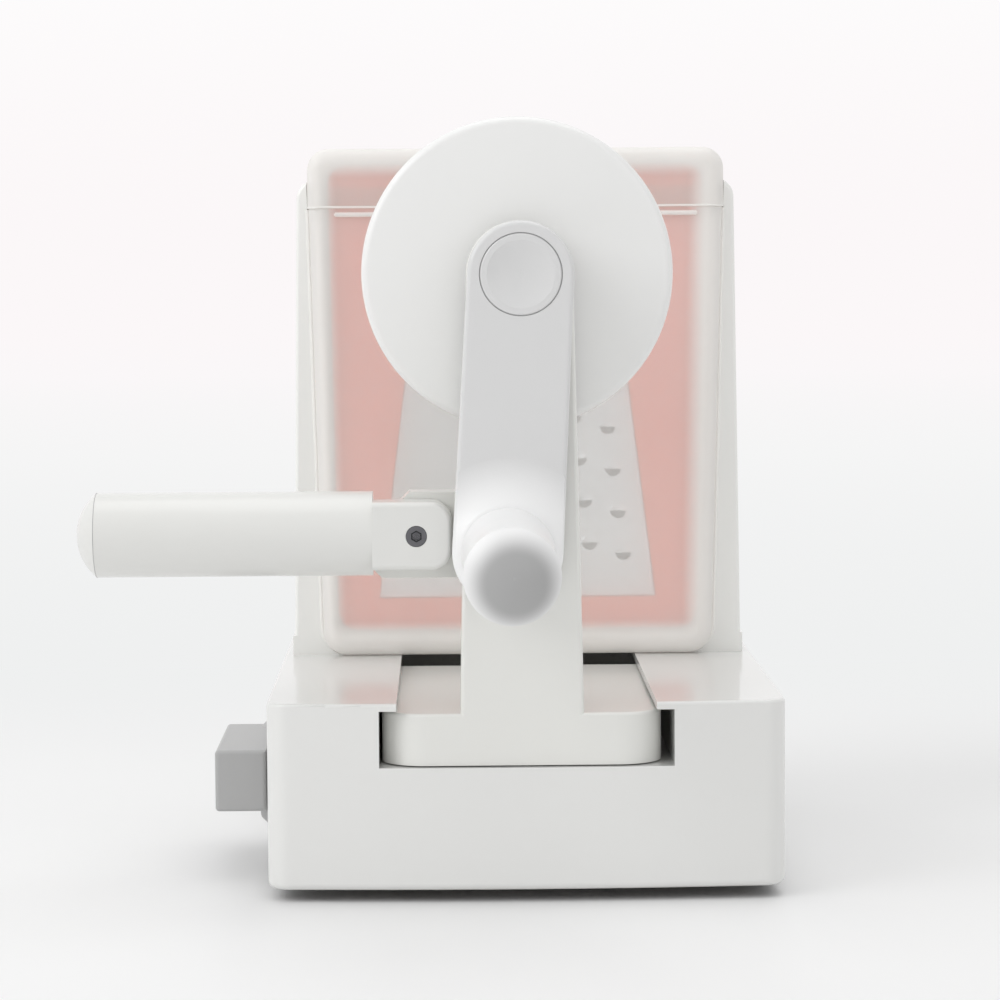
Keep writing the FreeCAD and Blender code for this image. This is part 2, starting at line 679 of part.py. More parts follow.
def box_half(height):
    """Half the box's width at a height above its foot."""
    return box_foot_half + (box_top_half - box_foot_half) * height / s.box_tall


def tower_frame():
    """The moulded tower: a recess that hugs the stored box, a slot for a cutter plate and an exit window."""
    body = new_body("tower_frame")
    top = deck + tower_height
    foot = s.tower_foot_wide / 2
    head = s.tower_top_wide / 2
    extrude(body, "XZ", s.tower_front, tower_back,
            outline([(-foot, deck), (foot, deck), (head, top), (-head, top)]))
    round_edges(body, s.tower_round, lambda edge: runs(edge, "y") and middle(edge).z > float(deck) + 10)
    round_edges(body, s.tower_edge, lambda edge: lies(edge, y=s.tower_front) and middle(edge).z > float(deck) + 1)
    round_edges(body, s.tower_edge, lambda edge: lies(edge, y=tower_back) and middle(edge).z > float(deck) + 1)
    flange = foot + s.flange_out
    extrude(body, "XZ", s.tower_front, tower_back, rectangle(-flange, flange, deck, deck + s.flange_tall))
    recess_back = box_back + s.box_clear
    foot_half = box_foot_half + s.box_clear
    top_half = box_top_half + s.lid_proud + s.box_clear
    low = s.tower_front - 1
    corner = s.box_round
    extrude(body, "XZ", low, recess_back,
            outline([(-foot_half + corner, deck), (foot_half - corner, deck), (foot_half, deck + corner),
                     (top_half, top + 1), (-top_half, top + 1), (-foot_half, deck + corner)],
                    {1: (corner, "left"), 5: (corner, "left")}), cut=True)
    extrude(body, "XY", deck - 1, deck + s.box_clear,
            rectangle(-s.slot_width / 2, s.slot_width / 2, low, recess_back), cut=True)
    slot_back = tower_back - s.blade_slot_back
    slot_half = plate_top_half + s.box_clear
    extrude(body, "XY", deck + s.plate_foot, top + 1,
            rectangle(-slot_half, slot_half, slot_back - s.blade_slot, slot_back), cut=True)
    extrude(body, "XZ", recess_back - 1, tower_back + 1,
            rectangle(-s.window_half, s.window_half, deck + s.window_low, deck + window_high), cut=True)
    inside = float(s.window_half) + 0.5
    round_edges(body, s.window_round, lambda edge: runs(edge, "y") and abs(middle(edge).x) < inside
                and abs(middle(edge).x) > inside - 1 and middle(edge).z > float(deck) + 5)
    pilot = s.screw_radius + s.screw_fit / 2
    extrude(body, "XY", deck - 1, deck + s.screw_grip,
            *[circle(x, y, pilot) for x, y in tower_screw_places()], cut=True)


def tower_screws():
    screw = screw_shape(float(s.screw_head) - 0.4, float(s.screw_head_tall), float(s.screw_radius),
                        float(s.deck_wall + s.screw_grip) - 0.5)
    add_group("tower_screws", [placed(screw, x, y, deck_under) for x, y in tower_screw_places()])


def box_outline(inset, low, high, corner):
    """Front view of the box between two heights above its foot."""
    foot, head = box_half(low) - inset, box_half(high) - inset
    return outline([(corner - foot, box_low + low), (foot - corner, box_low + low),
                    (foot, box_low + low + corner), (head, box_low + high), (-head, box_low + high),
                    (-foot, box_low + low + corner)],
                   {1: (corner, "left"), 5: (corner, "left")})


def storage_box():
    body = new_body("storage_box")
    extrude(body, "XZ", s.box_front, box_back, box_outline(Size.of(0), Size.of(0), s.box_tall, s.box_round))
    round_edges(body, s.box_edge, lambda edge: edge.BoundBox.ZLength > float(s.box_tall) / 2)
    neck = s.box_wall + s.lid_fit
    half = box_top_half - neck
    rise = s.neck_tall + 1
    extrude(body, "XY", box_seam - 1, box_seam + s.neck_tall,
            rectangle(-half, half, s.box_front + neck, box_back - neck))
    round_edges(body, s.box_edge - 1.5, lambda edge: runs(edge, "z") and middle(edge).z > float(box_seam))
    inner = s.box_round - s.box_wall
    extrude(body, "XZ", s.box_front + s.box_wall, box_back - s.box_wall,
            box_outline(s.box_wall, s.box_wall, s.box_tall - 2 * s.box_wall, inner), cut=True)
    reach = box_top_half - s.box_wall * 2
    round_edges(body, s.box_edge - s.box_wall, lambda edge: edge.BoundBox.ZLength > float(s.box_tall) / 2
                and abs(middle(edge).x) < float(box_half(middle(edge).z - box_low) - s.box_wall / 2)
                and float(s.box_front) + 1 < middle(edge).y < float(box_back) - 1)
    extrude(body, "XZ", s.box_front + 1.8 * s.box_wall, box_back - 1.8 * s.box_wall,
            rectangle(-reach, reach, box_seam - 3 * s.box_wall, box_seam + rise), cut=True)


def box_lid():
    body = new_body("box_lid")
    half = box_top_half + s.lid_proud
    front = s.box_front - s.lid_proud
    back = box_back + s.lid_proud
    top = box_seam + s.lid_tall
    extrude(body, "XZ", front, back, rectangle(-half, half, box_seam + s.box_rest, top))
    round_edges(body, s.lid_round, lambda edge: runs(edge, "y") and middle(edge).z > float(top) - 1)
    round_edges(body, s.box_edge, lambda edge: runs(edge, "z"))
    wall = s.box_wall + s.lid_proud
    roof, corner = top - s.box_wall, s.lid_round - s.box_wall
    extrude(body, "XZ", front + wall, back - wall,
            outline([(wall - half, box_seam - 1), (half - wall, box_seam - 1), (half - wall, roof - corner),
                     (half - wall - corner, roof), (wall - half + corner, roof), (wall - half, roof - corner)],
                    {2: (corner, "left"), 4: (corner, "left")}), cut=True)


def plate_front(number):
    return s.box_front + s.plate_start + number * s.plate_pitch


def plate_half(height):
    return plate_foot_half + (plate_top_half - plate_foot_half) * height / plate_tall


def mouth(grow):
    """The tapered window of a cutter plate, grown by a ledge or shrunk by a gap."""
    low, high = s.mouth_low - grow, mouth_high + grow
    foot, head = s.mouth_foot_half + grow, s.mouth_top_half + grow
    return [(-foot, low), (foot, low), (head, high), (-head, high)]


def cutter_plate(number, label):
    """The plastic frame of one cutter, with a ledge for its steel."""
    body = new_body(label, (0, plate_front(number), box_low + s.box_wall + s.plate_foot))
    extrude(body, "XZ", 0, s.plate_deep,
            outline([(-plate_foot_half, 0), (plate_foot_half, 0), (plate_top_half, plate_tall),
                     (-plate_top_half, plate_tall)]))
    round_edges(body, s.plate_round, lambda edge: runs(edge, "y"))
    extrude(body, "XZ", -1, s.steel_set + s.steel_deep, outline(mouth(s.mouth_ledge)), cut=True)
    extrude(body, "XZ", s.steel_set, s.plate_deep + 1, outline(mouth(Size.of(0))), cut=True)
    grip_half = s.mouth_top_half
    extrude(body, "XZ", -1, s.plate_deep / 3,
            rectangle(-grip_half, grip_half, plate_tall - 9, plate_tall - 4), cut=True)


def cutter_steel(number, label, toothed):
    """The steel sheet: a long cutting mouth, a hole for the coring tube and, on two, punched holes."""
    body = new_body(label, (0, plate_front(number) + s.steel_set, box_low + s.box_wall + s.plate_foot))
    extrude(body, "XZ", 0, s.steel_deep, outline(mouth(s.mouth_ledge - s.steel_fit)))
    slit = 5.0
    extrude(body, "XZ", -1, s.steel_deep + 1, circle(0, s.core_height, s.core_radius + s.steel_fit), cut=True)
    extrude(body, "XZ", -1, s.steel_deep + 1,
            outline([(-slit, s.core_height - 10), (-2 * slit, s.mouth_low + 6), (-2 * slit - 4, s.mouth_low + 6),
                     (-slit - 3, s.core_height - 10)]), cut=True)
    if toothed:
        holes = []
        for row in range(5):
            for column in range(3):
                u = 4 * s.tooth_hole + (column - 0.15 * row) * s.tooth_pitch * 0.8 + s.tooth_hole
                v = s.mouth_low + s.tooth_pitch * (0.75 + row) + (column % 2) * s.tooth_pitch / 4
                holes.append(circle(u, v, s.tooth_hole))
        extrude(body, "XZ", -1, s.steel_deep + 1, *holes, cut=True)
    # the cutting lip stands up along the slit
    extrude(body, "XZ", -1.6, 0.3,
            outline([(-2 * slit - 6, s.mouth_low + 6), (-2 * slit - 4, s.mouth_low + 6),
                     (-slit - 3, s.core_height - 10), (-slit - 5, s.core_height - 10)]))


def coring_tube(number, label):
    body = new_body(label, (0, plate_front(number), box_low + s.box_wall + s.plate_foot))
    extrude(body, "XZ", 0.4, s.core_long,
            circle(0, s.core_height, s.core_radius), circle(0, s.core_height, s.core_radius - s.core_wall))


def post_half(height):
    """Half the post's width at a height above the table."""
    return s.post_foot_half - (s.post_foot_half - s.post_top_radius) * (height - sled_top) / (hub_z - sled_top)


def post_outline(inset, low):
    foot = post_half(low) - inset
    radius = s.post_top_radius - inset
    return outline([(carriage_x - foot, low), (carriage_x + foot, low), (carriage_x + radius, hub_z),
                    (carriage_x, hub_z + radius), (carriage_x - radius, hub_z)],
                   {2: (radius, "left"), 3: (radius, "left")})


def carriage_body():
    """Sled and post in one moulding: the post is open at the back, the sled underneath."""
    body = new_body("carriage_body")
    left, right = carriage_x - s.sled_wide / 2, carriage_x + s.sled_wide / 2
    back = post_front + s.sled_long
    extrude(body, "XY", sled_low, sled_top, rectangle(left, right, post_front, back))
    round_edges(body, s.sled_round, lambda edge: runs(edge, "z") and middle(edge).y < float(post_front) + 1)
    round_edges(body, s.sled_edge, lambda edge: lies(edge, z=sled_top))
    extrude(body, "XZ", post_front, post_back, post_outline(Size.of(0), sled_low + s.sled_edge))
    round_edges(body, s.post_edge, lambda edge: lies(edge, y=post_front) and middle(edge).z > float(sled_top) + 1)
    inset = s.sled_wall
    extrude(body, "XY", sled_low - 1, sled_top - inset,
            rectangle(left + inset, right - inset, post_front + s.sled_round, back - inset), cut=True)
    cavity_foot = sled_top + s.post_wall
    extrude(body, "XZ", post_front + s.post_wall, post_back + 1, post_outline(s.post_wall, cavity_foot), cut=True)
    tube = s.bearing_radius + s.bearing_wall
    extrude(body, "XZ", post_front + 1, post_back - s.post_cover_deep, circle(carriage_x, hub_z, tube))
    extrude(body, "XZ", post_front - 1, post_back + 1, circle(carriage_x, hub_z, s.bearing_radius), cut=True)
    bosses = post_screw_places()
    extrude(body, "XZ", post_front + 1, post_back - s.post_cover_deep,
            *[circle(x, z, s.boss_radius) for x, z in bosses])
    pilot = s.screw_radius + s.screw_fit / 2
    extrude(body, "XZ", post_back - s.post_cover_deep - s.screw_grip, post_back,
            *[circle(x, z, pilot) for x, z in bosses], cut=True)


def post_screw_places():
    return [(carriage_x, sled_top + 4 * s.boss_radius), (carriage_x, hub_z - 8 * s.boss_radius)]


def post_cover():
    body = new_body("post_cover")
    inset = s.post_wall + s.part_gap
    extrude(body, "XZ", post_back - s.post_cover_deep, post_back,
            post_outline(inset, sled_top + s.post_wall + s.part_gap))
    extrude(body, "XZ", post_back - s.post_cover_deep - 1, post_back + 1,
            circle(carriage_x, hub_z, s.bearing_radius + s.part_gap),
            *[circle(x, z, s.screw_radius + s.screw_fit) for x, z in post_screw_places()], cut=True)


def post_screws():
    screw = screw_shape(float(s.screw_head), float(s.screw_head_tall) * 0.8, float(s.screw_radius),
                        float(s.screw_grip + s.post_cover_deep) - 0.5)
    turn = Rotation(Vector(1, 0, 0), 90)
    add_group("post_screws", [placed(screw, x, post_back, z, turn) for x, z in post_screw_places()])


def bush(label, flange_y, points_back):
    """A flanged bearing bush; points_back says which way its sleeve runs."""
    body = new_body(label, hub_place)
    bore = s.axle_radius + s.running_gap
    way = 1 if points_back else -1
    start, flange_end, sleeve_end = flange_y, flange_y - way * s.bush_flange, flange_y + way * s.bush_long
    low, high = (start, sleeve_end) if points_back else (sleeve_end, start)
    extrude(body, "XZ", low, high, circle(0, 0, s.bearing_radius), circle(0, 0, bore))
    low, high = (flange_end, start) if points_back else (start, flange_end)
    extrude(body, "XZ", low, high, circle(0, 0, s.bush_flange_radius), circle(0, 0, bore))


def hinge_bracket():
    """The arm on the post's left side that carries the side handle."""
    body = new_body("hinge_bracket")
    low, high = handle_z - s.bracket_low, handle_z + s.bracket_high
    far = pivot_x - s.handle_near + 0.1
    top_far = pivot_x - s.bracket_top_out
    bevel = s.bracket_bevel
    corners = [(far + bevel, low), (carriage_x - post_half(low), low), (carriage_x - post_half(high), high),
               (top_far + bevel, high), (top_far, high - bevel), (far, handle_z), (far, low + bevel)]
    extrude(body, "XZ", handle_y, handle_y + s.bracket_deep, outline(corners))
    extrude(body, "XZ", handle_y - 1, handle_y + s.bracket_deep + 1,
            circle(pivot_x, handle_z, s.pin_radius), cut=True)


def handle_tongue():
    """The flat tongue on the hinge pin and the round plug that holds the tube."""
    body = new_body("handle_tongue", (pivot_x, 0, handle_z))
    near = -s.handle_near
    extrude(body, "XZ", tongue_front, tongue_back,
            rectangle(near, s.tongue_end, -s.tongue_half, s.tongue_half))
    round_edges(body, s.tongue_round, lambda edge: runs(edge, "y") and middle(edge).x > 0)
    round_edges(body, s.tongue_edge, lambda edge: lies(edge, y=tongue_front) and middle(edge).x > float(near) + 1)
    plug = s.handle_radius - s.handle_wall - s.handle_fit
    extrude(body, "YZ", near - s.plug_long, near, circle(handle_y, 0, plug))
    extrude(body, "XZ", tongue_front - 1, tongue_back + 1,
            circle(0, 0, s.pin_radius + s.running_gap), cut=True)
    extrude(body, "XZ", tongue_front - 1, tongue_front + s.pin_head_deep,
            circle(0, 0, s.pin_head + 2 * s.running_gap), cut=True)


def handle_tube():
    body = new_body("handle_tube", (pivot_x, handle_y, handle_z))
    bore = s.handle_radius - s.handle_wall
    extrude(body, "YZ", -s.handle_far, -s.handle_near, circle(0, 0, s.handle_radius), circle(0, 0, bore))


def handle_cap():
    """A domed end cap with a spigot inside the tube."""
    body = new_body("handle_cap", (pivot_x, handle_y, handle_z))
    dome = s.handle_dome
    rim = s.handle_radius
    dome_radius = (rim * rim + dome * dome) / (2 * dome)
    spigot = rim - s.handle_wall - s.handle_fit
    far = -s.handle_far
    inside = far + s.cap_spigot
    corners = [(inside, 0), (far - dome, 0), (far, rim), (far, spigot), (inside, spigot)]
    revolve(body, "XZ", "H_Axis", outline(corners, {1: (dome_radius, "right")}))


def hinge_pin():
    body = new_body("hinge_pin", (pivot_x, 0, handle_z))
    face = tongue_front + 0.2
    extrude(body, "XZ", face, tongue_front + s.pin_head_deep - 0.1, circle(0, 0, s.pin_head))
    extrude(body, "XZ", face + 1, handle_y + s.bracket_deep - 1, circle(0, 0, s.pin_radius))
    hexagon = [(s.pin_socket * math.cos(math.radians(60 * n)), s.pin_socket * math.sin(math.radians(60 * n)))
               for n in range(6)]
    extrude(body, "XZ", face - 1, face + s.pin_head_deep * 0.7, outline(hexagon), cut=True)


def crank_outline(inset):
    top, foot = s.crank_top_radius - inset, s.crank_foot_radius - inset
    low = -s.crank_long
    return outline([(-top, 0), (-foot, low), (0, low - foot), (foot, low), (top, 0), (0, top)],
                   {1: (foot, "left"), 2: (foot, "left"), 4: (top, "left"), 5: (top, "left")})


def crank_arm():
    """The arm, open at the back, with the button's well at the hub and a flared boss at the grip."""
    body = new_body("crank_arm", hub_place, s.crank_lean)
    extrude(body, "XZ", crank_front, crank_back, crank_outline(Size.of(0)))
    round_edges(body, s.crank_edge, lambda edge: lies(edge, y=crank_front))
    extrude(body, "XZ", crank_front + s.crank_wall, crank_back + 1, crank_outline(s.crank_wall), cut=True)
    cover_front = crank_back - s.crank_cover_deep
    well = s.button_radius + s.button_gap
    extrude(body, "XZ", crank_front + 1, cover_front, circle(0, 0, well + 1),
            circle(0, -s.crank_long, s.spindle_head + s.crank_wall))
    extrude(body, "XZ", crank_front - 1, crank_front + s.button_well, circle(0, 0, well), cut=True)
    extrude(body, "XZ", crank_back - s.axle_seat, crank_back + 1, circle(0, 0, s.axle_radius), cut=True)
    extrude(body, "XZ", crank_front, crank_back + 1, circle(0, 0, s.rod_radius + 0.2), cut=True)
    flare = crank_front - s.flare_tall
    flare_root = s.crank_foot_radius - s.crank_edge - 0.2
    rise = flare_root - s.flare_top_radius
    flare_radius = (rise * rise + s.flare_tall * s.flare_tall) / (2 * rise)
    bore = s.spindle_radius + s.running_gap
    low = -s.crank_long
    revolve(body, "YZ", "Axis0",
            outline([(crank_front + 1, low + bore), (flare, low + bore), (flare, low + s.flare_top_radius),
                     (crank_front, low + flare_root), (crank_front + 1, low + flare_root)],
                    {2: (flare_radius, "left")}), about=low)
    extrude(body, "XZ", flare - 1, crank_back + 1, circle(0, low, bore), cut=True)
    extrude(body, "XZ", cover_front - s.spindle_head_deep - 0.2, crank_back + 1,
            circle(0, low, s.spindle_head + 0.3), cut=True)
    extrude(body, "XZ", crank_front + 1, cover_front,
            *[circle(x, z, s.boss_radius - 1) for x, z in arm_screw_places()])
    pilot = s.screw_radius + s.screw_fit / 2
    extrude(body, "XZ", cover_front - s.crank_deep / 2, cover_front + 1,
            *[circle(x, z, pilot) for x, z in arm_screw_places()], cut=True)


def arm_screw_places():
    return [(0, -s.crank_long * 0.35), (0, -s.crank_long * 0.68)]


def arm_cover():
    body = new_body("arm_cover", hub_place, s.crank_lean)
    cover_front = crank_back - s.crank_cover_deep
    extrude(body, "XZ", cover_front, crank_back, crank_outline(s.crank_wall + s.part_gap))
    extrude(body, "XZ", cover_front - 1, crank_back + 1, circle(0, 0, s.axle_radius + s.part_gap),
            *[circle(x, z, s.screw_radius + s.screw_fit) for x, z in arm_screw_places()], cut=True)


def arm_screws():
    screw = screw_shape(float(s.screw_head) * 0.8, 1.4, float(s.screw_radius),
                        float(s.crank_deep / 2 + s.crank_cover_deep) - 0.4)
    turn = Rotation(Vector(1, 0, 0), 90)
    lean = Placement(Vector(float(carriage_x), 0, float(hub_z)), Rotation(Vector(0, 1, 0), float(s.crank_lean)))
    shapes = []
    for x, z in arm_screw_places():
        one = screw.copy()
        one.Placement = lean.multiply(Placement(Vector(float(x), float(crank_back), float(z)), turn))
        shapes.append(one)
    add_group("arm_screws", shapes)


def crank_shaft():
    body = new_body("crank_shaft", hub_place)
    front = crank_back - s.axle_seat
    end = disc_front + s.disc_deep * 0.3
    extrude(body, "XZ", front, end, circle(0, 0, s.axle_radius), circle(0, 0, s.axle_bore))


def release_button():
    """A round button with a dished face."""
    body = new_body("release_button", hub_place)
    face = crank_front - 0.1
    back = face + s.button_deep
    dish_ball = (s.dish_radius * s.dish_radius + s.dish_deep * s.dish_deep) / (2 * s.dish_deep)
    rim = s.button_radius
    revolve(body, "YZ", "H_Axis",
            outline([(back, 0), (face + s.dish_deep, 0), (face, s.dish_radius), (face, rim - 0.6),
                     (face + 0.6, rim), (back, rim)],
                    {1: (dish_ball, "left"), 3: (Size.of(0.6), "right")}))


def push_rod():
    body = new_body("push_rod", hub_place)
    extrude(body, "XZ", crank_front - 0.1 + s.button_deep, disc_front + s.disc_deep * 0.25,
            circle(0, 0, s.rod_radius))


def button_spring():
    """The coil that pushes the button back out."""
    low = float(crank_front - 0.1 + s.button_deep)
    high = float(crank_front + s.button_well)
    wire = float(s.spring_wire)
    turns = 2
    tall = high - low - 2 * wire
    spine = Part.makeHelix(tall / turns, tall, float(s.spring_radius))
    section = Part.Wire(Part.makeCircle(wire, Vector(float(s.spring_radius), 0, 0), Vector(0, 1, 0)))
    coil = Part.Wire(spine).makePipeShell([section], True, True)
    turn = Rotation(Vector(1, 0, 0), 90)
    add_group("button_spring", [placed(coil, carriage_x, high - wire, hub_z, turn)])


def holder_disc():
    body = new_body("holder_disc", hub_place)
    hub_front = post_back + s.bush_flange + s.hub_gap
    socket = s.axle_radius + s.running_gap
    socket_end = disc_front + s.disc_deep * 0.7
    revolve(body, "YZ", "H_Axis",
            outline([(hub_front, socket), (hub_front, s.disc_hub_radius), (disc_front, s.disc_hub_radius),
                     (disc_front, s.disc_radius), (disc_back, s.disc_radius), (disc_back, 0), (socket_end, 0),
                     (socket_end, socket)]))
    round_edges(body, s.disc_edge, lambda edge: edge.BoundBox.ZLength > 1.9 * float(s.disc_radius))


def holder_prongs():
    """The steel plate on the disc and the spikes that grip the food."""
    along = Vector(0, 1, 0)
    plate = Part.makeCylinder(float(s.prong_plate_radius), float(s.prong_plate_deep), Vector(), along)
    spike = Part.makeCone(float(s.prong_radius), float(s.prong_tip), float(s.prong_long), Vector(), along)
    face = disc_back + s.prong_plate_deep
    shapes = [placed(plate, carriage_x, disc_back, hub_z), placed(spike, carriage_x, face, hub_z)]
    for ring, count in ((float(s.prong_ring), 10), (float(s.prong_inner_ring), 5)):
        for step in range(count):
            angle = 2 * math.pi * step / count
            shapes.append(placed(spike, carriage_x + ring * math.cos(angle), face, hub_z + ring * math.sin(angle)))
    add_group("holder_prongs", shapes)


def grip_spindle():
    body = new_body("grip_spindle", hub_place, s.crank_lean)
    head_back = crank_back - s.crank_cover_deep
    tip = crank_front - s.flare_tall - s.grip_gap - s.spindle_long
    extrude(body, "XZ", tip, head_back, circle(0, -s.crank_long, s.spindle_radius))
    extrude(body, "XZ", head_back - s.spindle_head_deep, head_back, circle(0, -s.crank_long, s.spindle_head))


def grip_body():
    """The turned grip: a waisted barrel with a domed end."""
    body = new_body("grip_body", hub_place, s.crank_lean)
    low = -s.crank_long
    root = crank_front - s.flare_tall - s.grip_gap
    dome_start = root - s.grip_long + s.grip_dome
    tip = root - s.grip_long
    bore = s.spindle_radius + s.running_gap
    bore_end = root - s.spindle_long - 1
    waist = root - s.grip_long * 0.4
    soft = 1.2
    dome_ball = (s.grip_tip_radius * s.grip_tip_radius + s.grip_dome * s.grip_dome) / (2 * s.grip_dome)
    revolve(body, "YZ", "Axis0",
            outline([(root, low + bore), (root, low + s.grip_root_radius - soft),
                     (root - soft, low + s.grip_root_radius), (waist, low + s.grip_waist_radius),
                     (dome_start, low + s.grip_tip_radius), (tip, low), (bore_end, low), (bore_end, low + bore)],
                    {1: (Size.of(soft), "left"), 4: (dome_ball, "left")}), about=low)


def main():
    base_housing()
    bottom_cover()
    rubber_feet()
    cover_screws()
    suction_cup()
    plunger()
    cam_shaft()
    suction_lever()
    lever_screw()
    tower_frame()
    tower_screws()
    storage_box()
    box_lid()
    for number, name in enumerate(("fine_noodle", "wide_noodle", "ribbon")):
        cutter_plate(number, f"{name}_plate")
        cutter_steel(number, f"{name}_blade", name != "ribbon")
        coring_tube(number, f"{name}_corer")
    carriage_body()
    post_cover()
    post_screws()
    bush("front_bush", post_front, True)
    bush("rear_bush", post_back, False)
    hinge_bracket()
    handle_tongue()
    handle_tube()
    handle_cap()
    hinge_pin()
    crank_shaft()
    crank_arm()
    arm_cover()
    arm_screws()
    release_button()
    push_rod()
    button_spring()
    holder_disc()
    holder_prongs()
    grip_spindle()
    grip_body()


def check_and_write():
    doc.recompute()
    for thing in doc.Objects:
        if "Invalid" in thing.State or "Error" in thing.State:
            raise RuntimeError(f"{thing.Label} did not compute: {thing.State}")
    for part in parts:
        if part.Shape.isNull() or not part.Shape.isValid():
            raise RuntimeError(f"{part.Label} has no valid shape")
    os.makedirs("parts", exist_ok=True)
    for part in parts:
        part.Shape.exportStep(f"parts/{part.Label}.step")
        print(f"{part.Label}: {len(part.Shape.Solids)} solids, {part.Shape.Volume / 1000:.2f} cm3")


main()
check_and_write()
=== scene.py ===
import math

import bpy
from mathutils import Matrix, Vector


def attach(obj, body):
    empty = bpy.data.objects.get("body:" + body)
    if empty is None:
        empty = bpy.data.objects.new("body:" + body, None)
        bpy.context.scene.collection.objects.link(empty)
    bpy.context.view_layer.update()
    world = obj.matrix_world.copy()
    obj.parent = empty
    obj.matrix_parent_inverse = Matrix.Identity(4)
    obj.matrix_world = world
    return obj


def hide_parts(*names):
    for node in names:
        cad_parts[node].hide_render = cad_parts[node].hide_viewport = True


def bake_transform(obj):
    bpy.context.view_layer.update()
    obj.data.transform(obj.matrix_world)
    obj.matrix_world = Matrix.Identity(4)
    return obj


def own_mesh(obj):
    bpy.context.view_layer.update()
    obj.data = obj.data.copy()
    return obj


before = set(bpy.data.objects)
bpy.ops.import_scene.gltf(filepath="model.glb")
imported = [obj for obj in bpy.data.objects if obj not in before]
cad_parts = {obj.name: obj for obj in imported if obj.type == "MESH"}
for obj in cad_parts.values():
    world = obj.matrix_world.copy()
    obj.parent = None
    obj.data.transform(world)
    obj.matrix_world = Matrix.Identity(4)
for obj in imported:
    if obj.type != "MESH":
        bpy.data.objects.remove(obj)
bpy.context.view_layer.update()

# The camera, in metres and degrees
CAMERA_AT = (-0.0215, -1.0085, 0.1894)
CAMERA_TURN = math.radians(-0.88)
CAMERA_DIP = math.radians(4.45)
CAMERA_ROLL = math.radians(0.38)
CAMERA_LENS = 115.2

# The studio: each lamp's place, aim and side in metres, and its power in watts
WORLD_LIGHT = 0.64
BACKDROP_LOW, BACKDROP_HIGH = (251, 247, 248), (254, 254, 254)
HORIZON_SOFT = 0.14
LAMPS = {
    "left_softbox": ((-1.6, -0.9, 1.3), (0, 0, 0.1), 1.4, 14.8),
    "top_softbox": ((0.2, 0.1, 2.0), (0, 0, 0), 1.6, 9.4),
    "front_fill": ((0.9, -1.8, 0.8), (0, 0, 0.1), 1.2, 2),
}
# The floor's tone by distance from the object, in metres
FLOOR_TONES = ((0.0, (238, 239, 239)), (0.54, (239, 240, 240)), (1.98, (245, 245, 245)),
               (3.96, (250, 247, 248)), (6.0, BACKDROP_LOW))

# Sizes and places in millimetres, in the frame of the CAD model
MM = 0.001
HUB_X, HUB_Z = -1.2, 182.8
DISC_RADIUS, DISC_FRONT, DISC_BACK = 46.6, -51.5, -46.5
ARM_LEAN = math.radians(3.03)
ARM_HALF_WIDTH = 15.2
FLARE_TOP, FLARE_TALL = -105.37, 4.85
GRIP_X, GRIP_Z, GRIP_TIP = -5.4, 103.5, -172.4
HANDLE_Y, HANDLE_Z = -75.0, 107.3
PIN_X, PIN_FACE = -31.6, -87.1
PLATE_FOOT, PLATE_HEAD = 67.0, 217.0
BOX_SEAM = 203.2

# Turns that lay a primitive's axis along the view or across it
FORWARD = (math.pi / 2, 0, 0)
SIDEWAYS = (0, math.pi / 2, 0)

# The scales of the patterns in the finishes
DRIFT_SCALE = 7.0
GRAIN_SCALE = 2600.0


def linear(red, green, blue):
    """An 8-bit sRGB colour as the linear values that Blender's sockets take."""
    def channel(value):
        value /= 255
        return value / 12.92 if value <= 0.04045 else ((value + 0.055) / 1.055) ** 2.4
    return channel(red), channel(green), channel(blue), 1.0


def shade(colour, factor):
    """The same colour, lighter or darker by a factor."""
    return tuple(min(1.0, part * factor) for part in colour[:3]) + (1.0,)


class Field:
    """A number that varies over a surface. Arithmetic on fields adds Math nodes."""

    def __init__(self, graph, socket):
        self.graph = graph
        self.socket = socket

    def math(self, operation, *values):
        return self.graph.node("ShaderNodeMath", {"operation": operation}, *values)

    def __add__(self, other):
        return self.math("ADD", self, other)

    __radd__ = __add__

    def __sub__(self, other):
        return self.math("SUBTRACT", self, other)

    def __rsub__(self, other):
        return self.math("SUBTRACT", other, self)

    def __mul__(self, other):
        return self.math("MULTIPLY", self, other)

    __rmul__ = __mul__

    def __pow__(self, other):
        return self.math("POWER", self, other)

    def __abs__(self):
        return self.math("ABSOLUTE", self)

    def most(self, other):
        return self.math("MAXIMUM", self, other)

    def between(self, low, high):
        """0 up to the low edge and 1 from the high edge, with a soft step from one to the other."""
        return self.graph.node("ShaderNodeMapRange", {"interpolation_type": "SMOOTHSTEP"}, self, low, high)

    def above(self, edge, soft):
        """0 below the edge and 1 above it, softened over a span to either side."""
        return self.between(edge - soft, edge + soft)


def diagonal(across, along):
    """The distance that two fields at right angles make together."""
    return (across * across + along * along) ** 0.5


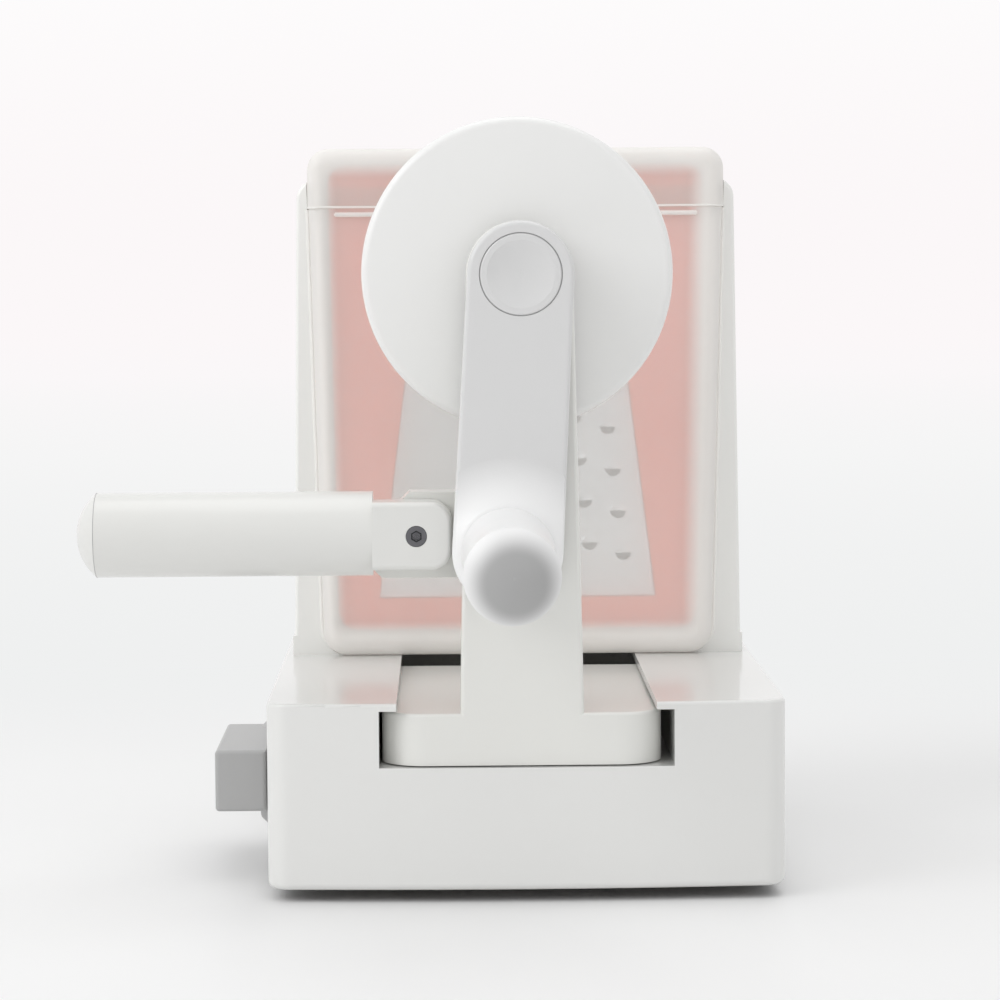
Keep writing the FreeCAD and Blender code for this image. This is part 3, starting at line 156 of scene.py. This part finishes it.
class Graph:
    """A node tree that is written as expressions on fields."""

    def __init__(self, tree):
        self.tree = tree

    def node(self, kind, settings, *values, out=0, **named):
        """Add a node: settings first, then its sockets' values or links. None leaves a socket as it is."""
        made = self.tree.nodes.new(kind)
        for setting, value in settings.items():
            if setting == "stops":
                ramp = made.color_ramp
                while len(ramp.elements) < len(value):
                    ramp.elements.new(0.5)
                for element, (position, colour) in zip(ramp.elements, value):
                    element.position = position
                    element.color = colour
            else:
                setattr(made, setting, value)
        for key, value in list(enumerate(values)) + list(named.items()):
            socket = made.inputs[key]
            if isinstance(value, Field):
                self.tree.links.new(value.socket, socket)
            elif value is not None:
                socket.default_value = value
        return Field(self, made.outputs[out])

    def place(self):
        """Object coordinates, in metres."""
        return self.node("ShaderNodeTexCoord", {}, out="Object")

    def along(self, axis):
        """One Object coordinate, in metres."""
        return self.node("ShaderNodeSeparateXYZ", {}, self.place(), out=axis)

    def measured(self, axis):
        """One Object coordinate, in millimetres."""
        return self.along(axis) * (1 / MM)

    def noise(self, scale, detail=2.0, stretch=(1, 1, 1)):
        spot = self.node("ShaderNodeMapping", {}, self.place(), Scale=stretch)
        return self.node("ShaderNodeTexNoise", {}, Vector=spot, Scale=scale, Detail=detail)

    def blend(self, amount, first, second):
        """Mix two colours by a field."""
        return self.node("ShaderNodeMix", {"data_type": "RGBA"}, amount, *[None] * 5, first, second, out=2)

    def mottled(self, amount, colour, spread):
        """A colour that wanders to either side of itself."""
        return self.blend(amount, shade(colour, 1 - spread), shade(colour, 1 + spread))

    def seen(self):
        """1 for the rays that bring the background to the camera: straight, mirrored or through glass."""
        straight, mirrored, through = (self.node("ShaderNodeLightPath", {}, out=ray) for ray in
                                       ("Is Camera Ray", "Is Glossy Ray", "Is Transmission Ray"))
        return straight.most(mirrored).most(through)

    def show(self, surface):
        """Link the last shader to the output."""
        output = next(node for node in self.tree.nodes if node.bl_idname.startswith("ShaderNodeOutput"))
        self.tree.links.new(surface.socket, output.inputs["Surface"])


class Finish(Graph):
    """A procedural material: constants go to its shader's own sockets, fields are linked."""

    def __init__(self, name, **looks):
        self.material = bpy.data.materials.new(name)
        self.material.use_nodes = True
        super().__init__(self.material.node_tree)
        self.shader = self.tree.nodes["Principled BSDF"]
        for look, value in looks.items():
            self.shader.inputs[look.replace("_", " ").title().replace("Ior", "IOR")].default_value = value

    def feed(self, **fields):
        for name, field in fields.items():
            self.tree.links.new(field.socket, self.shader.inputs[name.replace("_", " ").title()])
        return self

    def bump(self, height, distance):
        """Raise the surface by a height field; distance is in metres."""
        made = self.node("ShaderNodeBump", {}, Height=height, Distance=distance, Strength=1.0)
        return self.feed(normal=made)

    def grained(self, depth):
        """Give the surface the fine grain of a mould, as deep as said, in metres."""
        return self.bump(self.noise(GRAIN_SCALE, 1.0), depth)


def moulded(name, colour, roughness=0.3, grain=0.00001, **looks):
    """Injection moulded plastic: a fine grain and a slow drift in tone and gloss."""
    finish = Finish(name, ior=1.48, **looks)
    drift = finish.noise(DRIFT_SCALE)
    finish.feed(base_color=finish.mottled(drift, colour, 0.008),
                roughness=(drift - 0.5) * 0.05 + roughness)
    return finish.grained(grain)


def arm_finish(name, colour, pale):
    """Satin plastic with a painted highlight: its colour turns paler where the arm swells into the root of
    the grip, in place of the light that this flare catches from above.
    """
    finish = Finish(name, ior=1.48, coat_weight=0.5, coat_roughness=0.15)
    drift = finish.noise(DRIFT_SCALE)
    # Painted highlight: the pale colour is blended in fully within 14 mm of the grip's axis and is gone by 29
    # mm.
    painted_highlight_mask = 1 - diagonal(finish.measured("X") - GRIP_X, finish.measured("Z") - GRIP_Z).above(21.5, 7.5)
    finish.feed(base_color=finish.blend(painted_highlight_mask, finish.mottled(drift, colour, 0.008), pale),
                roughness=(drift - 0.5) * 0.05 + 0.45)
    return finish.grained(0.00002)


def grip_finish(name, colour, tip_grey_and_painted_shade):
    """Pearl plastic with a grey end, partly the end's own colour and partly painted shade: the grey fades out
    towards its rim.
    """
    finish = Finish(name, ior=1.48, coat_weight=0.3, coat_roughness=0.3, sheen_weight=0.25,
                    sheen_roughness=0.5)
    drift = finish.noise(DRIFT_SCALE)
    # Painted shade: the grey is darkest a little below and right of the grip's axis and fades out by the rim,
    # as the shading of the domed end lit from the upper left.
    off_painted_shade_middle = diagonal(finish.measured("X") - (GRIP_X + 0.8), finish.measured("Z") - (GRIP_Z - 1.5))
    end = (1 - finish.measured("Y").above(GRIP_TIP + 5.5, 1.5)) * (1 - off_painted_shade_middle.above(10.8, 3.4))
    finish.feed(base_color=finish.blend(end, finish.mottled(drift, colour, 0.01), tip_grey_and_painted_shade),
                roughness=drift * 0.06 + 0.42)
    return finish.grained(0.00001)


def brushed(name, colour, roughness, stretch):
    """Rolled or ground steel with lines along one way."""
    finish = Finish(name, metallic=1.0)
    lines = finish.noise(420.0, 4.0, stretch)
    finish.feed(base_color=finish.blend(lines, shade(colour, 0.82), shade(colour, 1.08)),
                roughness=lines * 0.16 + roughness)
    return finish.bump(lines, 0.00002)


def soft_rubber(name, colour, roughness):
    """Matt rubber with a little pale dust."""
    finish = Finish(name, ior=1.5)
    dust = finish.noise(160.0, 5.0).above(0.56, 0.08)
    finish.feed(base_color=finish.blend(dust, colour, shade(colour, 1.35)), roughness=dust * 0.15 + roughness)
    return finish.bump(finish.noise(1400.0), 0.00006)


def frosted(name, tint, cover, rim_cover, neck_cover=None):
    """Clouded polypropylene: thin over the plates behind it, and thick or clear where the covers say. A faint
    emission gives it a painted glow, in place of the light that clouded walls scatter.
    """
    # Painted light: the weak emission makes the walls glow a little.
    finish = Finish(name, ior=1.3, transmission_weight=0.15, emission_color=linear(255, 250, 244),
                    emission_strength=0.05)
    cloud = finish.noise(14.0, 3.0)
    height = finish.measured("Z")
    plate_middle, plate_half, plate_taper = -1.2, 57.2, 0.016
    beside = abs(finish.measured("X") - plate_middle) - ((height - PLATE_FOOT) * plate_taper + plate_half)
    on_plate = (1 - beside.above(0.0, 3.7)) * height.above(PLATE_FOOT + 0.6, 3.0)
    on_plate = on_plate * (1 - height.above(PLATE_HEAD - 1.4, 3.0))
    thickness = on_plate * (cover - rim_cover) + rim_cover
    if neck_cover is not None:
        neck = height.above(BOX_SEAM + 0.3, 0.2)
        thickness = thickness * (1 - neck) + neck_cover * neck
    finish.feed(base_color=finish.blend(cloud, shade(tint, 0.985), shade(tint, 1.01)),
                alpha=(cloud - 0.5) * 0.05 + thickness,
                roughness=(finish.noise(900.0) - 0.5) * 0.06 + 0.4)
    return finish.bump(finish.noise(1500.0), 0.00002)


def make_finishes():
    glossy = {"coat_weight": 0.8, "coat_roughness": 0.06, "coat_ior": 1.5}
    satin = {"coat_weight": 0.5, "coat_roughness": 0.15}
    return {
        "shell_white": moulded("shell_white", linear(229, 229, 227), 0.35, **glossy),
        "tower_white": moulded("tower_white", linear(243, 243, 240), 0.35, **glossy),
        "post_white": moulded("post_white", linear(230, 230, 226), 0.36, **satin),
        # The second colour is the painted highlight round the grip's root.
        "arm_white": arm_finish("arm_white", linear(218, 218, 218), linear(243, 243, 243)),
        "disc_white": moulded("disc_white", linear(240, 240, 239), 0.42, **satin),
        "tube_white": moulded("tube_white", linear(226, 226, 223), 0.34, **satin),
        # The second colour is the grey of the grip's end, partly painted shade.
        "grip_pearl": grip_finish("grip_pearl", linear(238, 238, 238), linear(168, 168, 168)),
        "button_white": moulded("button_white", linear(217, 217, 217), 0.36, **satin),
        "lever_grey": moulded("lever_grey", linear(176, 176, 176), 0.4, 0.00003),
        # The bottom cover's grey is partly a guess at its colour and partly painted shade: it is kept darker
        # to deepen the shade in the gap under the base.
        "cover_grey": moulded("cover_grey", linear(150, 146, 142), 0.5, 0.00003),
        # All three frosted finishes carry the painted glow of the emission.
        "frosted_wall": frosted("frosted_wall", linear(250, 248, 245), 0.42, 0.86, 0.03),
        "frosted_lid": frosted("frosted_lid", linear(248, 246, 243), 0.42, 0.84),
        "bead_clear": frosted("bead_clear", linear(253, 252, 250), 0.7, 0.8),
        "orange_plate": moulded("orange_plate", linear(255, 108, 48), 0.55, specular_ior_level=0.25),
        "green_plate": moulded("green_plate", linear(120, 172, 72), 0.34),
        "blue_plate": moulded("blue_plate", linear(66, 124, 178), 0.34),
        "blade_steel": brushed("blade_steel", linear(238, 243, 249), 0.22, (0.04, 1.0, 1.0)),
        "turned_steel": brushed("turned_steel", linear(190, 191, 194), 0.24, (1.0, 0.05, 1.0)),
        "pin_steel": brushed("pin_steel", linear(58, 58, 60), 0.34, (1.0, 1.0, 1.0)),
        "rim_steel": brushed("rim_steel", linear(112, 112, 115), 0.3, (1.0, 1.0, 1.0)),
        "foot_rubber": soft_rubber("foot_rubber", linear(58, 58, 60), 0.62),
        "cup_rubber": soft_rubber("cup_rubber", linear(150, 150, 148), 0.42),
        "bush_nylon": moulded("bush_nylon", linear(226, 224, 214), 0.5),
    }


# Every other CAD node is of turned steel
FINISH_OF_NODE = {
    "base_housing": "shell_white", "tower_frame": "tower_white", "bottom_cover": "cover_grey",
    "carriage_body": "post_white", "post_cover": "post_white", "hinge_bracket": "post_white",
    "crank_arm": "arm_white", "arm_cover": "arm_white", "release_button": "button_white",
    "holder_disc": "disc_white", "handle_tongue": "tube_white", "handle_tube": "tube_white",
    "handle_cap": "tube_white", "grip_body": "grip_pearl", "suction_lever": "lever_grey",
    "storage_box": "frosted_wall", "box_lid": "frosted_lid", "fine_noodle_plate": "orange_plate",
    "wide_noodle_plate": "green_plate", "ribbon_plate": "blue_plate", "hinge_pin": "pin_steel",
    "fine_noodle_blade": "blade_steel", "wide_noodle_blade": "blade_steel", "ribbon_blade": "blade_steel",
    "rubber_feet": "foot_rubber", "suction_cup": "cup_rubber", "front_bush": "bush_nylon",
    "rear_bush": "bush_nylon", "plunger": "bush_nylon",
}


def deselect():
    if bpy.context.mode != "OBJECT":
        bpy.ops.object.mode_set(mode="OBJECT")
    bpy.ops.object.select_all(action="DESELECT")


def in_metres(*spot):
    """A place in millimetres as Blender's metres."""
    return Vector(spot) * MM


def start(primitive, **where):
    """Add a primitive alone, with its place in its mesh. Sizes are in millimetres."""
    deselect()
    for key in ("radius", "depth", "size", "major_radius", "minor_radius"):
        if key in where:
            where[key] *= MM
    where["location"] = in_metres(*where.get("location", (0, 0, 0)))
    primitive(**where)
    bpy.ops.object.transform_apply(location=True, rotation=True, scale=True)
    return bpy.context.object


def pick(piece, kind, test):
    """Select the faces, edges or corners whose middle passes the test, in millimetres."""
    bpy.ops.object.mode_set(mode="EDIT")
    bpy.ops.mesh.select_mode(type=kind)
    bpy.ops.mesh.select_all(action="DESELECT")
    bpy.ops.object.mode_set(mode="OBJECT")
    data = piece.data
    for item in {"FACE": data.polygons, "EDGE": data.edges, "VERT": data.vertices}[kind]:
        corners = [data.vertices[i].co for i in item.vertices] if kind != "VERT" else [item.co]
        item.select = bool(test(sum(corners, Vector()) / len(corners) / MM))
    bpy.ops.object.mode_set(mode="EDIT")


def push(x=0, y=0, z=0):
    """Extrude the picked faces, in millimetres."""
    bpy.ops.mesh.extrude_region_move(TRANSFORM_OT_translate={"value": in_metres(x, y, z)})


def near(value, wanted):
    return abs(value - wanted) < 0.01


def point_outwards(piece):
    """Make a closed piece's faces point outwards, and leave it selected and active."""
    deselect()
    bpy.context.view_layer.objects.active = piece
    piece.select_set(True)
    bpy.ops.object.mode_set(mode="EDIT")
    bpy.ops.mesh.select_all(action="SELECT")
    bpy.ops.mesh.normals_make_consistent(inside=False)
    bpy.ops.object.mode_set(mode="OBJECT")


def settle(piece, name, finish, body, angle=30):
    """Give a finished piece its name, its material and the body it rides on, if it rides on one."""
    point_outwards(piece)
    bpy.ops.object.shade_smooth_by_angle(angle=math.radians(angle))
    piece.name = piece.data.name = name
    piece.data.materials.clear()
    piece.data.materials.append(finish.material)
    if body:
        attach(piece, body)


def scatter(piece, places):
    """Copies of one modelled piece at each place, joined."""
    copies = []
    for place in places:
        copy = piece.copy()
        copy.data = piece.data.copy()
        bpy.context.collection.objects.link(copy)
        copy.data.transform(Matrix.Translation(in_metres(*place)))
        copies.append(copy)
    bpy.data.objects.remove(piece)
    deselect()
    for copy in copies:
        copy.select_set(True)
    bpy.context.view_layer.objects.active = copies[0]
    if len(copies) > 1:
        bpy.ops.object.join()
    return copies[0]


def bead_from_edges(thick):
    """Turn the active piece's edges into a round bead."""
    bpy.ops.object.mode_set(mode="OBJECT")
    bpy.ops.object.convert(target="CURVE")
    curve = bpy.context.object
    curve.data.bevel_depth = thick * MM
    curve.data.bevel_resolution = 3
    curve.data.use_fill_caps = True
    bpy.ops.object.convert(target="MESH")
    return bpy.context.object


def tube_loop(width, height, corner, thick, turn, at):
    """A thin round bead that runs round a rectangle with round corners."""
    loop = start(bpy.ops.mesh.primitive_plane_add, size=1)
    loop.data.transform(Matrix.Diagonal((width, height, 1, 1)))
    pick(loop, "VERT", lambda spot: True)
    bpy.ops.mesh.bevel(affect="VERTICES", offset=corner * MM, segments=8)
    bpy.ops.mesh.delete(type="ONLY_FACE")
    bpy.ops.object.mode_set(mode="OBJECT")
    loop.data.transform(Matrix.Translation(in_metres(*at)) @ Matrix.Rotation(turn, 4, "X"))
    return bead_from_edges(thick)


def holder_face(finishes):
    """The food holder's disc with its soft rim, its hub and the bore for the crank shaft."""
    disc = start(bpy.ops.mesh.primitive_cylinder_add, vertices=160, radius=DISC_RADIUS,
                 depth=DISC_BACK - DISC_FRONT, location=(HUB_X, (DISC_FRONT + DISC_BACK) / 2, HUB_Z),
                 rotation=FORWARD)
    pick(disc, "FACE", lambda spot: near(spot.y, DISC_FRONT))
    wide, hub, bore = DISC_RADIUS, 12.0, 6.3
    for ring, out in ((hub, -2.0), (bore, 5.7)):
        bpy.ops.mesh.inset(thickness=(wide - ring) * MM)
        push(y=out)
        wide = ring
    rim = DISC_RADIUS - 0.5
    for face, softness, segments in ((DISC_FRONT, 2.3, 7), (DISC_BACK, 1.1, 4)):
        pick(disc, "EDGE", lambda spot: near(spot.y, face)
             and math.hypot(spot.x - HUB_X, spot.z - HUB_Z) > rim)
        bpy.ops.mesh.bevel(offset=softness * MM, segments=segments)
    settle(disc, "holder_face", finishes["disc_white"], "holder", 40)
    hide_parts("holder_disc")


def sunk_disc(front, radius, depth, sides, border, sink):
    """A flat disc on the hinge pin's head, with a border round its sunk middle."""
    disc = start(bpy.ops.mesh.primitive_cylinder_add, vertices=sides, radius=radius, depth=depth,
                 location=(PIN_X, front + depth / 2, HANDLE_Z), rotation=FORWARD)
    pick(disc, "FACE", lambda spot: near(spot.y, front))
    bpy.ops.mesh.inset(thickness=border * MM)
    push(y=sink)
    return disc


def pin_socket(finishes):
    """The bright rim of the hinge pin's head and the hexagon socket in it."""
    rim = sunk_disc(PIN_FACE - 0.2, radius=2.95, depth=0.3, sides=48, border=0.75, sink=0.14)
    settle(rim, "pin_rim", finishes["rim_steel"], "carriage")
    socket = sunk_disc(PIN_FACE - 0.18, radius=1.75, depth=0.24, sides=6, border=0.35, sink=0.12)
    settle(socket, "pin_socket", finishes["pin_steel"], "carriage")


def lid_and_neck_beads(finishes):
    """The rolled lower edge of the lid and the ledge of the box just under it."""
    lid = tube_loop(width=133.7, height=38.0, corner=5.2, thick=0.4, turn=0, at=(0, 40.8, BOX_SEAM + 0.5))
    settle(lid, "lid_bead", finishes["bead_clear"], "lid")
    half, taper = 58, 0.3
    ledge = start(bpy.ops.mesh.primitive_cylinder_add, vertices=24, radius=0.75, depth=2 * half,
                  location=(0, 22.0, 201.3), rotation=SIDEWAYS)
    for side in (-1, 1):
        pick(ledge, "FACE", lambda spot: near(spot.x, side * half))
        bpy.ops.mesh.inset(thickness=0.35 * MM)
        push(x=side * taper)
    settle(ledge, "neck_bead", finishes["bead_clear"], "box", 40)


def box_rim(finishes):
    """The bead along the front edge of the box that closes the gap to the tower."""
    low, high, front = 59.2, 203.0, 27.35
    wide_low, wide_high = 127.0, 134.2
    middle = (low + high) / 2
    rim = start(bpy.ops.mesh.primitive_plane_add, size=1)
    rim.data.transform(Matrix.Translation(in_metres(0, front, middle)) @ Matrix.Rotation(math.pi / 2, 4, "X")
                       @ Matrix.Diagonal((wide_low, high - low, 1, 1)))
    pick(rim, "VERT", lambda spot: spot.z > middle)
    bpy.ops.transform.resize(value=(wide_high / wide_low, 1, 1))
    pick(rim, "VERT", lambda spot: spot.z < middle)
    bpy.ops.mesh.bevel(affect="VERTICES", offset=8.4 * MM, segments=10)
    bpy.ops.mesh.delete(type="ONLY_FACE")
    pick(rim, "EDGE", lambda spot: spot.z > high - 0.1)
    bpy.ops.mesh.delete(type="EDGE")
    settle(bead_from_edges(0.6), "box_rim", finishes["bead_clear"], "box")


def window_rim(finishes):
    """The rolled rim round the exit window, on the back of the tower."""
    rim = tube_loop(width=95.0, height=125.0, corner=15.0, thick=1.3, turn=math.pi / 2, at=(0, 87.9, 137.5))
    settle(rim, "window_rim", finishes["shell_white"], "base")


def arm_flare(finishes):
    """The arm's face swells into the root of the grip: a wide soft flare, cut to the arm's outline."""
    root, reach, steps, hollow, buried = 13.4, 13.6, 14, 1.6, 1.5
    flare = start(bpy.ops.mesh.primitive_circle_add, vertices=128, radius=root, fill_type="NGON",
                  location=(GRIP_X, FLARE_TOP, GRIP_Z), rotation=FORWARD)
    bpy.ops.object.mode_set(mode="EDIT")
    bpy.ops.mesh.select_all(action="SELECT")
    for step in range(steps):
        wide = [root + reach * (i / steps) for i in (step, step + 1)]
        tall = [(1 - i / steps) ** hollow * FLARE_TALL for i in (step, step + 1)]
        push(y=tall[0] - tall[1])
        bpy.ops.transform.resize(value=(wide[1] / wide[0], 1, wide[1] / wide[0]),
                                 center_override=in_metres(GRIP_X, 0, GRIP_Z))
    push(y=buried)
    arm = start(bpy.ops.mesh.primitive_cylinder_add, vertices=96, radius=ARM_HALF_WIDTH, depth=12,
                location=(GRIP_X, -101, GRIP_Z), rotation=FORWARD)
    pick(arm, "VERT", lambda spot: spot.z > GRIP_Z - 0.1)
    drawn_up = 40
    bpy.ops.transform.translate(
        value=in_metres(drawn_up * math.sin(ARM_LEAN), 0, drawn_up * math.cos(ARM_LEAN)))
    point_outwards(arm)
    point_outwards(flare)
    trim = flare.modifiers.new("outline", "BOOLEAN")
    trim.operation = "INTERSECT"
    trim.object = arm
    bpy.ops.object.modifier_apply(modifier="outline")
    bpy.data.objects.remove(arm)
    settle(flare, "arm_flare", finishes["arm_white"], "crank", 40)


def cap_groove(finishes):
    """The fine joint between the side handle's tube and its end cap."""
    groove = start(bpy.ops.mesh.primitive_torus_add, major_segments=96, minor_segments=8, major_radius=12.32,
                   minor_radius=0.12, location=(-124.98, HANDLE_Y, HANDLE_Z), rotation=SIDEWAYS)
    settle(groove, "cap_groove", finishes["lever_grey"], "side_handle")


def button_seal(finishes):
    """The thin ring that closes the gap round the release button, a little below the arm's face."""
    ring = start(bpy.ops.mesh.primitive_torus_add, major_segments=128, minor_segments=8, major_radius=11.8,
                 minor_radius=0.08, location=(HUB_X, -100.3, HUB_Z), rotation=FORWARD)
    settle(ring, "button_seal", finishes["lever_grey"], "crank")


def button_coil(finishes):
    """The coil under the release button, swept as one rigid piece that rides on the crank; in the real thing
    it shortens as the button goes in.
    """
    wire, coil_radius, turns, tall, seat = 0.7, 8.5, 2, 3.3, -92.5
    coil = start(bpy.ops.mesh.primitive_circle_add, vertices=12, radius=wire, location=(coil_radius, 0, 0),
                 rotation=FORWARD)
    sweep = coil.modifiers.new("sweep", "SCREW")
    sweep.angle = 2 * math.pi
    sweep.screw_offset = tall / turns * MM
    sweep.iterations = turns
    sweep.steps = sweep.render_steps = 40
    bpy.ops.object.modifier_apply(modifier="sweep")
    pick(coil, "VERT", lambda spot: True)
    bpy.ops.mesh.fill_holes(sides=0)
    bpy.ops.object.mode_set(mode="OBJECT")
    place = Matrix.Translation(in_metres(HUB_X, seat - wire, HUB_Z))
    coil.data.transform(place @ Matrix.Rotation(math.pi / 2, 4, "X"))
    settle(coil, "button_coil", finishes["turned_steel"], "crank", 50)
    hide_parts("button_spring")
    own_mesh(coil)


def bending_cup(finishes):
    """The suction cup, modelled as one still piece; in the real thing its lip stays on the table while the
    plunger draws its hub up.
    """
    low, high = 0.05, 0.85
    cup = start(bpy.ops.mesh.primitive_cylinder_add, vertices=96, radius=54.4, depth=high - low,
                location=(0, 0, (low + high) / 2))
    # How far each ring lies inside the one before it, and how much higher
    upper = ((6.9, 3.15), (13.0, 1.0), (13.0, 0.95), (8.5, 0.5), (3.8, 1.45), (6.0, 0.0))
    under = ((5.8, 0.85), (13.6, 1.3), (13.4, 1.4), (12.6, 1.2), (5.8, 0.2))
    for side, rings in ((high, upper), (low, under)):
        pick(cup, "FACE", lambda spot: near(spot.z, side) and math.hypot(spot.x, spot.y) < 0.1)
        for inset, rise in rings:
            bpy.ops.mesh.inset(thickness=inset * MM)
            bpy.ops.transform.translate(value=in_metres(0, 0, rise))
    pick(cup, "FACE", lambda spot: math.hypot(spot.x, spot.y) < 0.1)
    bpy.ops.mesh.bridge_edge_loops()
    bpy.ops.object.mode_set(mode="OBJECT")
    settle(cup, "cup_rubber", finishes["cup_rubber"], None, 40)
    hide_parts("suction_cup")
    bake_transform(cup)


def cross_recess():
    """A cross as in a screw's head: a square whose sides are drawn out, with the middle sunk."""
    half, drawn, flat = 0.35, 1.1, 0.3
    cross = start(bpy.ops.mesh.primitive_cube_add, size=2 * half)
    for axis in (0, 1):
        for side in (-1, 1):
            pick(cross, "FACE", lambda spot: near(spot[axis], side * half) and near(spot[1 - axis], 0))
            push(**{"xy"[axis]: side * drawn})
    bpy.ops.mesh.select_all(action="SELECT")
    bpy.ops.transform.resize(value=(1, 1, flat))
    pick(cross, "FACE", lambda spot: near(spot.z, half * flat))
    bpy.ops.mesh.inset(thickness=0.1 * MM)
    push(z=-0.03)
    bpy.ops.object.mode_set(mode="OBJECT")
    return cross


def screw_recesses(finishes):
    """Dark crosses on the heads of the screws, painted shade for their recesses, each turned about X and then
    Y to face out of its head.
    """
    heads = (
        ("post_screw_crosses", "carriage", (math.pi / 2, 0), [(HUB_X, -54.35, 70.5), (HUB_X, -54.35, 151.5)]),
        ("lever_screw_cross", "lever", (0, math.pi / 2), [(-93.0, 0, 25.0)]),
        ("cover_screw_crosses", "base", (math.pi, 0), [(x, y, 8.0) for x in (-67, 67) for y in (-69.5, 94)]),
    )
    for name, body, (about_x, about_y), places in heads:
        # Painted shade: each cross is a thin raised piece of dark steel, not a cut recess.
        cross = cross_recess()
        cross.data.transform(Matrix.Rotation(about_y, 4, "Y") @ Matrix.Rotation(about_x, 4, "X"))
        settle(scatter(cross, places), name, finishes["pin_steel"], body)


def tooth_hoods(finishes):
    """The small hoods raised over the punched holes of the two noodle blades."""
    rows, columns = 5, 3
    first_x, pitch_x, lean = 12.5, 10.96, 0.15
    first_z, pitch_z, stagger = PLATE_FOOT + 14.0 + 0.75 * 13.7, 13.7, 3.425
    for body, front in (("fine_noodle_cutter", 28.4), ("wide_noodle_cutter", 39.4)):
        hood = start(bpy.ops.mesh.primitive_uv_sphere_add, segments=20, ring_count=12, radius=2.7)
        hood.data.transform(Matrix.Diagonal((1, 0.26, 1, 1)))
        pick(hood, "FACE", lambda spot: spot.y > 0 or spot.z < 0.3)
        bpy.ops.mesh.delete(type="FACE")
        bpy.ops.object.mode_set(mode="OBJECT")
        shell = hood.modifiers.new("sheet", "SOLIDIFY")
        shell.thickness = 0.35 * MM
        bpy.ops.object.modifier_apply(modifier="sheet")
        hoods = scatter(hood, [(first_x + (column - lean * row) * pitch_x, front,
                                first_z + row * pitch_z + (column % 2) * stagger)
                               for row in range(rows) for column in range(columns)])
        settle(hoods, body.replace("_cutter", "_hoods"), finishes["blade_steel"], body)


def foot_rings(finishes):
    """The moulded ring under each rubber foot."""
    ring = start(bpy.ops.mesh.primitive_torus_add, major_segments=48, minor_segments=10, major_radius=4.2,
                 minor_radius=0.5)
    ring.data.transform(Matrix.Diagonal((1, 1, 0.4, 1)))
    places = [(x, y, 0.2) for x in (-56, 56) for y in (-59, 88)]
    settle(scatter(ring, places), "foot_rings", finishes["foot_rubber"], "base")


def dress_nodes(finishes):
    """Give every CAD node its material."""
    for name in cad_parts:
        data = bpy.data.objects[name].data
        data.materials.clear()
        data.materials.append(finishes[FINISH_OF_NODE.get(name, "turned_steel")].material)


def add_camera():
    camera = bpy.data.objects.new("camera", bpy.data.cameras.new("camera"))
    bpy.context.scene.collection.objects.link(camera)
    camera.data.lens = CAMERA_LENS
    camera.data.clip_end = 50
    turn = (Matrix.Rotation(CAMERA_TURN, 4, "Z") @ Matrix.Rotation(math.pi / 2 - CAMERA_DIP, 4, "X")
            @ Matrix.Rotation(-CAMERA_ROLL, 4, "Z"))
    camera.matrix_world = Matrix.Translation(CAMERA_AT) @ turn
    bpy.context.scene.camera = camera


def add_world():
    """Even white light, and behind it a backdrop that is palest high up."""
    world = bpy.context.scene.world or bpy.data.worlds.new("studio")
    bpy.context.scene.world = world
    world.use_nodes = True
    sky = Graph(world.node_tree)
    ways = sky.node("ShaderNodeTexCoord", {}, out="Generated")
    high = sky.node("ShaderNodeSeparateXYZ", {}, ways, out="Z").between(0.0, HORIZON_SOFT)
    tone = sky.blend(high, linear(*BACKDROP_LOW), linear(*BACKDROP_HIGH))
    backdrop = sky.node("ShaderNodeBackground", {}, tone, 1.0)
    light = sky.node("ShaderNodeBackground", {}, (1, 1, 1, 1), WORLD_LIGHT)
    sky.show(sky.node("ShaderNodeMixShader", {}, sky.seen(), light, backdrop))


def add_floor():
    """A pale floor that takes the shadow near the object and turns into the backdrop further off."""
    deselect()
    bpy.ops.mesh.primitive_plane_add(size=12, location=(0, 0, 0))
    floor = bpy.context.object
    floor.name = "floor"
    finish = Finish("studio_floor", roughness=0.5, base_color=linear(242, 242, 242))
    back = finish.along("Y")
    away = diagonal(finish.along("X"), back)
    edge = FLOOR_TONES[-1][0]
    stops = [(distance / edge, linear(*colour)) for distance, colour in FLOOR_TONES]
    tone = finish.node("ShaderNodeValToRGB", {"stops": stops}, away * (1 / edge))
    glow = finish.node("ShaderNodeEmission", {}, tone, 1.0)
    far = back.between(0.12, 0.45).most(away.between(1.2, 2.6))
    lit = Field(finish, finish.shader.outputs[0])
    finish.show(finish.node("ShaderNodeMixShader", {}, far * finish.seen(), lit, glow))
    floor.data.materials.append(finish.material)


def add_lamps():
    for name, (at, aim, side, power) in LAMPS.items():
        lamp = bpy.data.lights.new(name, "AREA")
        lamp.size = side
        lamp.energy = power
        lamp_object = bpy.data.objects.new(name, lamp)
        bpy.context.scene.collection.objects.link(lamp_object)
        lamp_object.location = at
        lamp_object.rotation_euler = (Vector(aim) - Vector(at)).to_track_quat("-Z", "Y").to_euler()


def main():
    finishes = make_finishes()
    dress_nodes(finishes)
    for model in (holder_face, pin_socket, lid_and_neck_beads, box_rim, window_rim, arm_flare, cap_groove,
                  button_seal, button_coil, bending_cup, screw_recesses, tooth_hoods, foot_rings):
        model(finishes)
    add_camera()
    add_world()
    add_floor()
    add_lamps()
    bpy.context.scene.view_settings.view_transform = "Standard"


main()
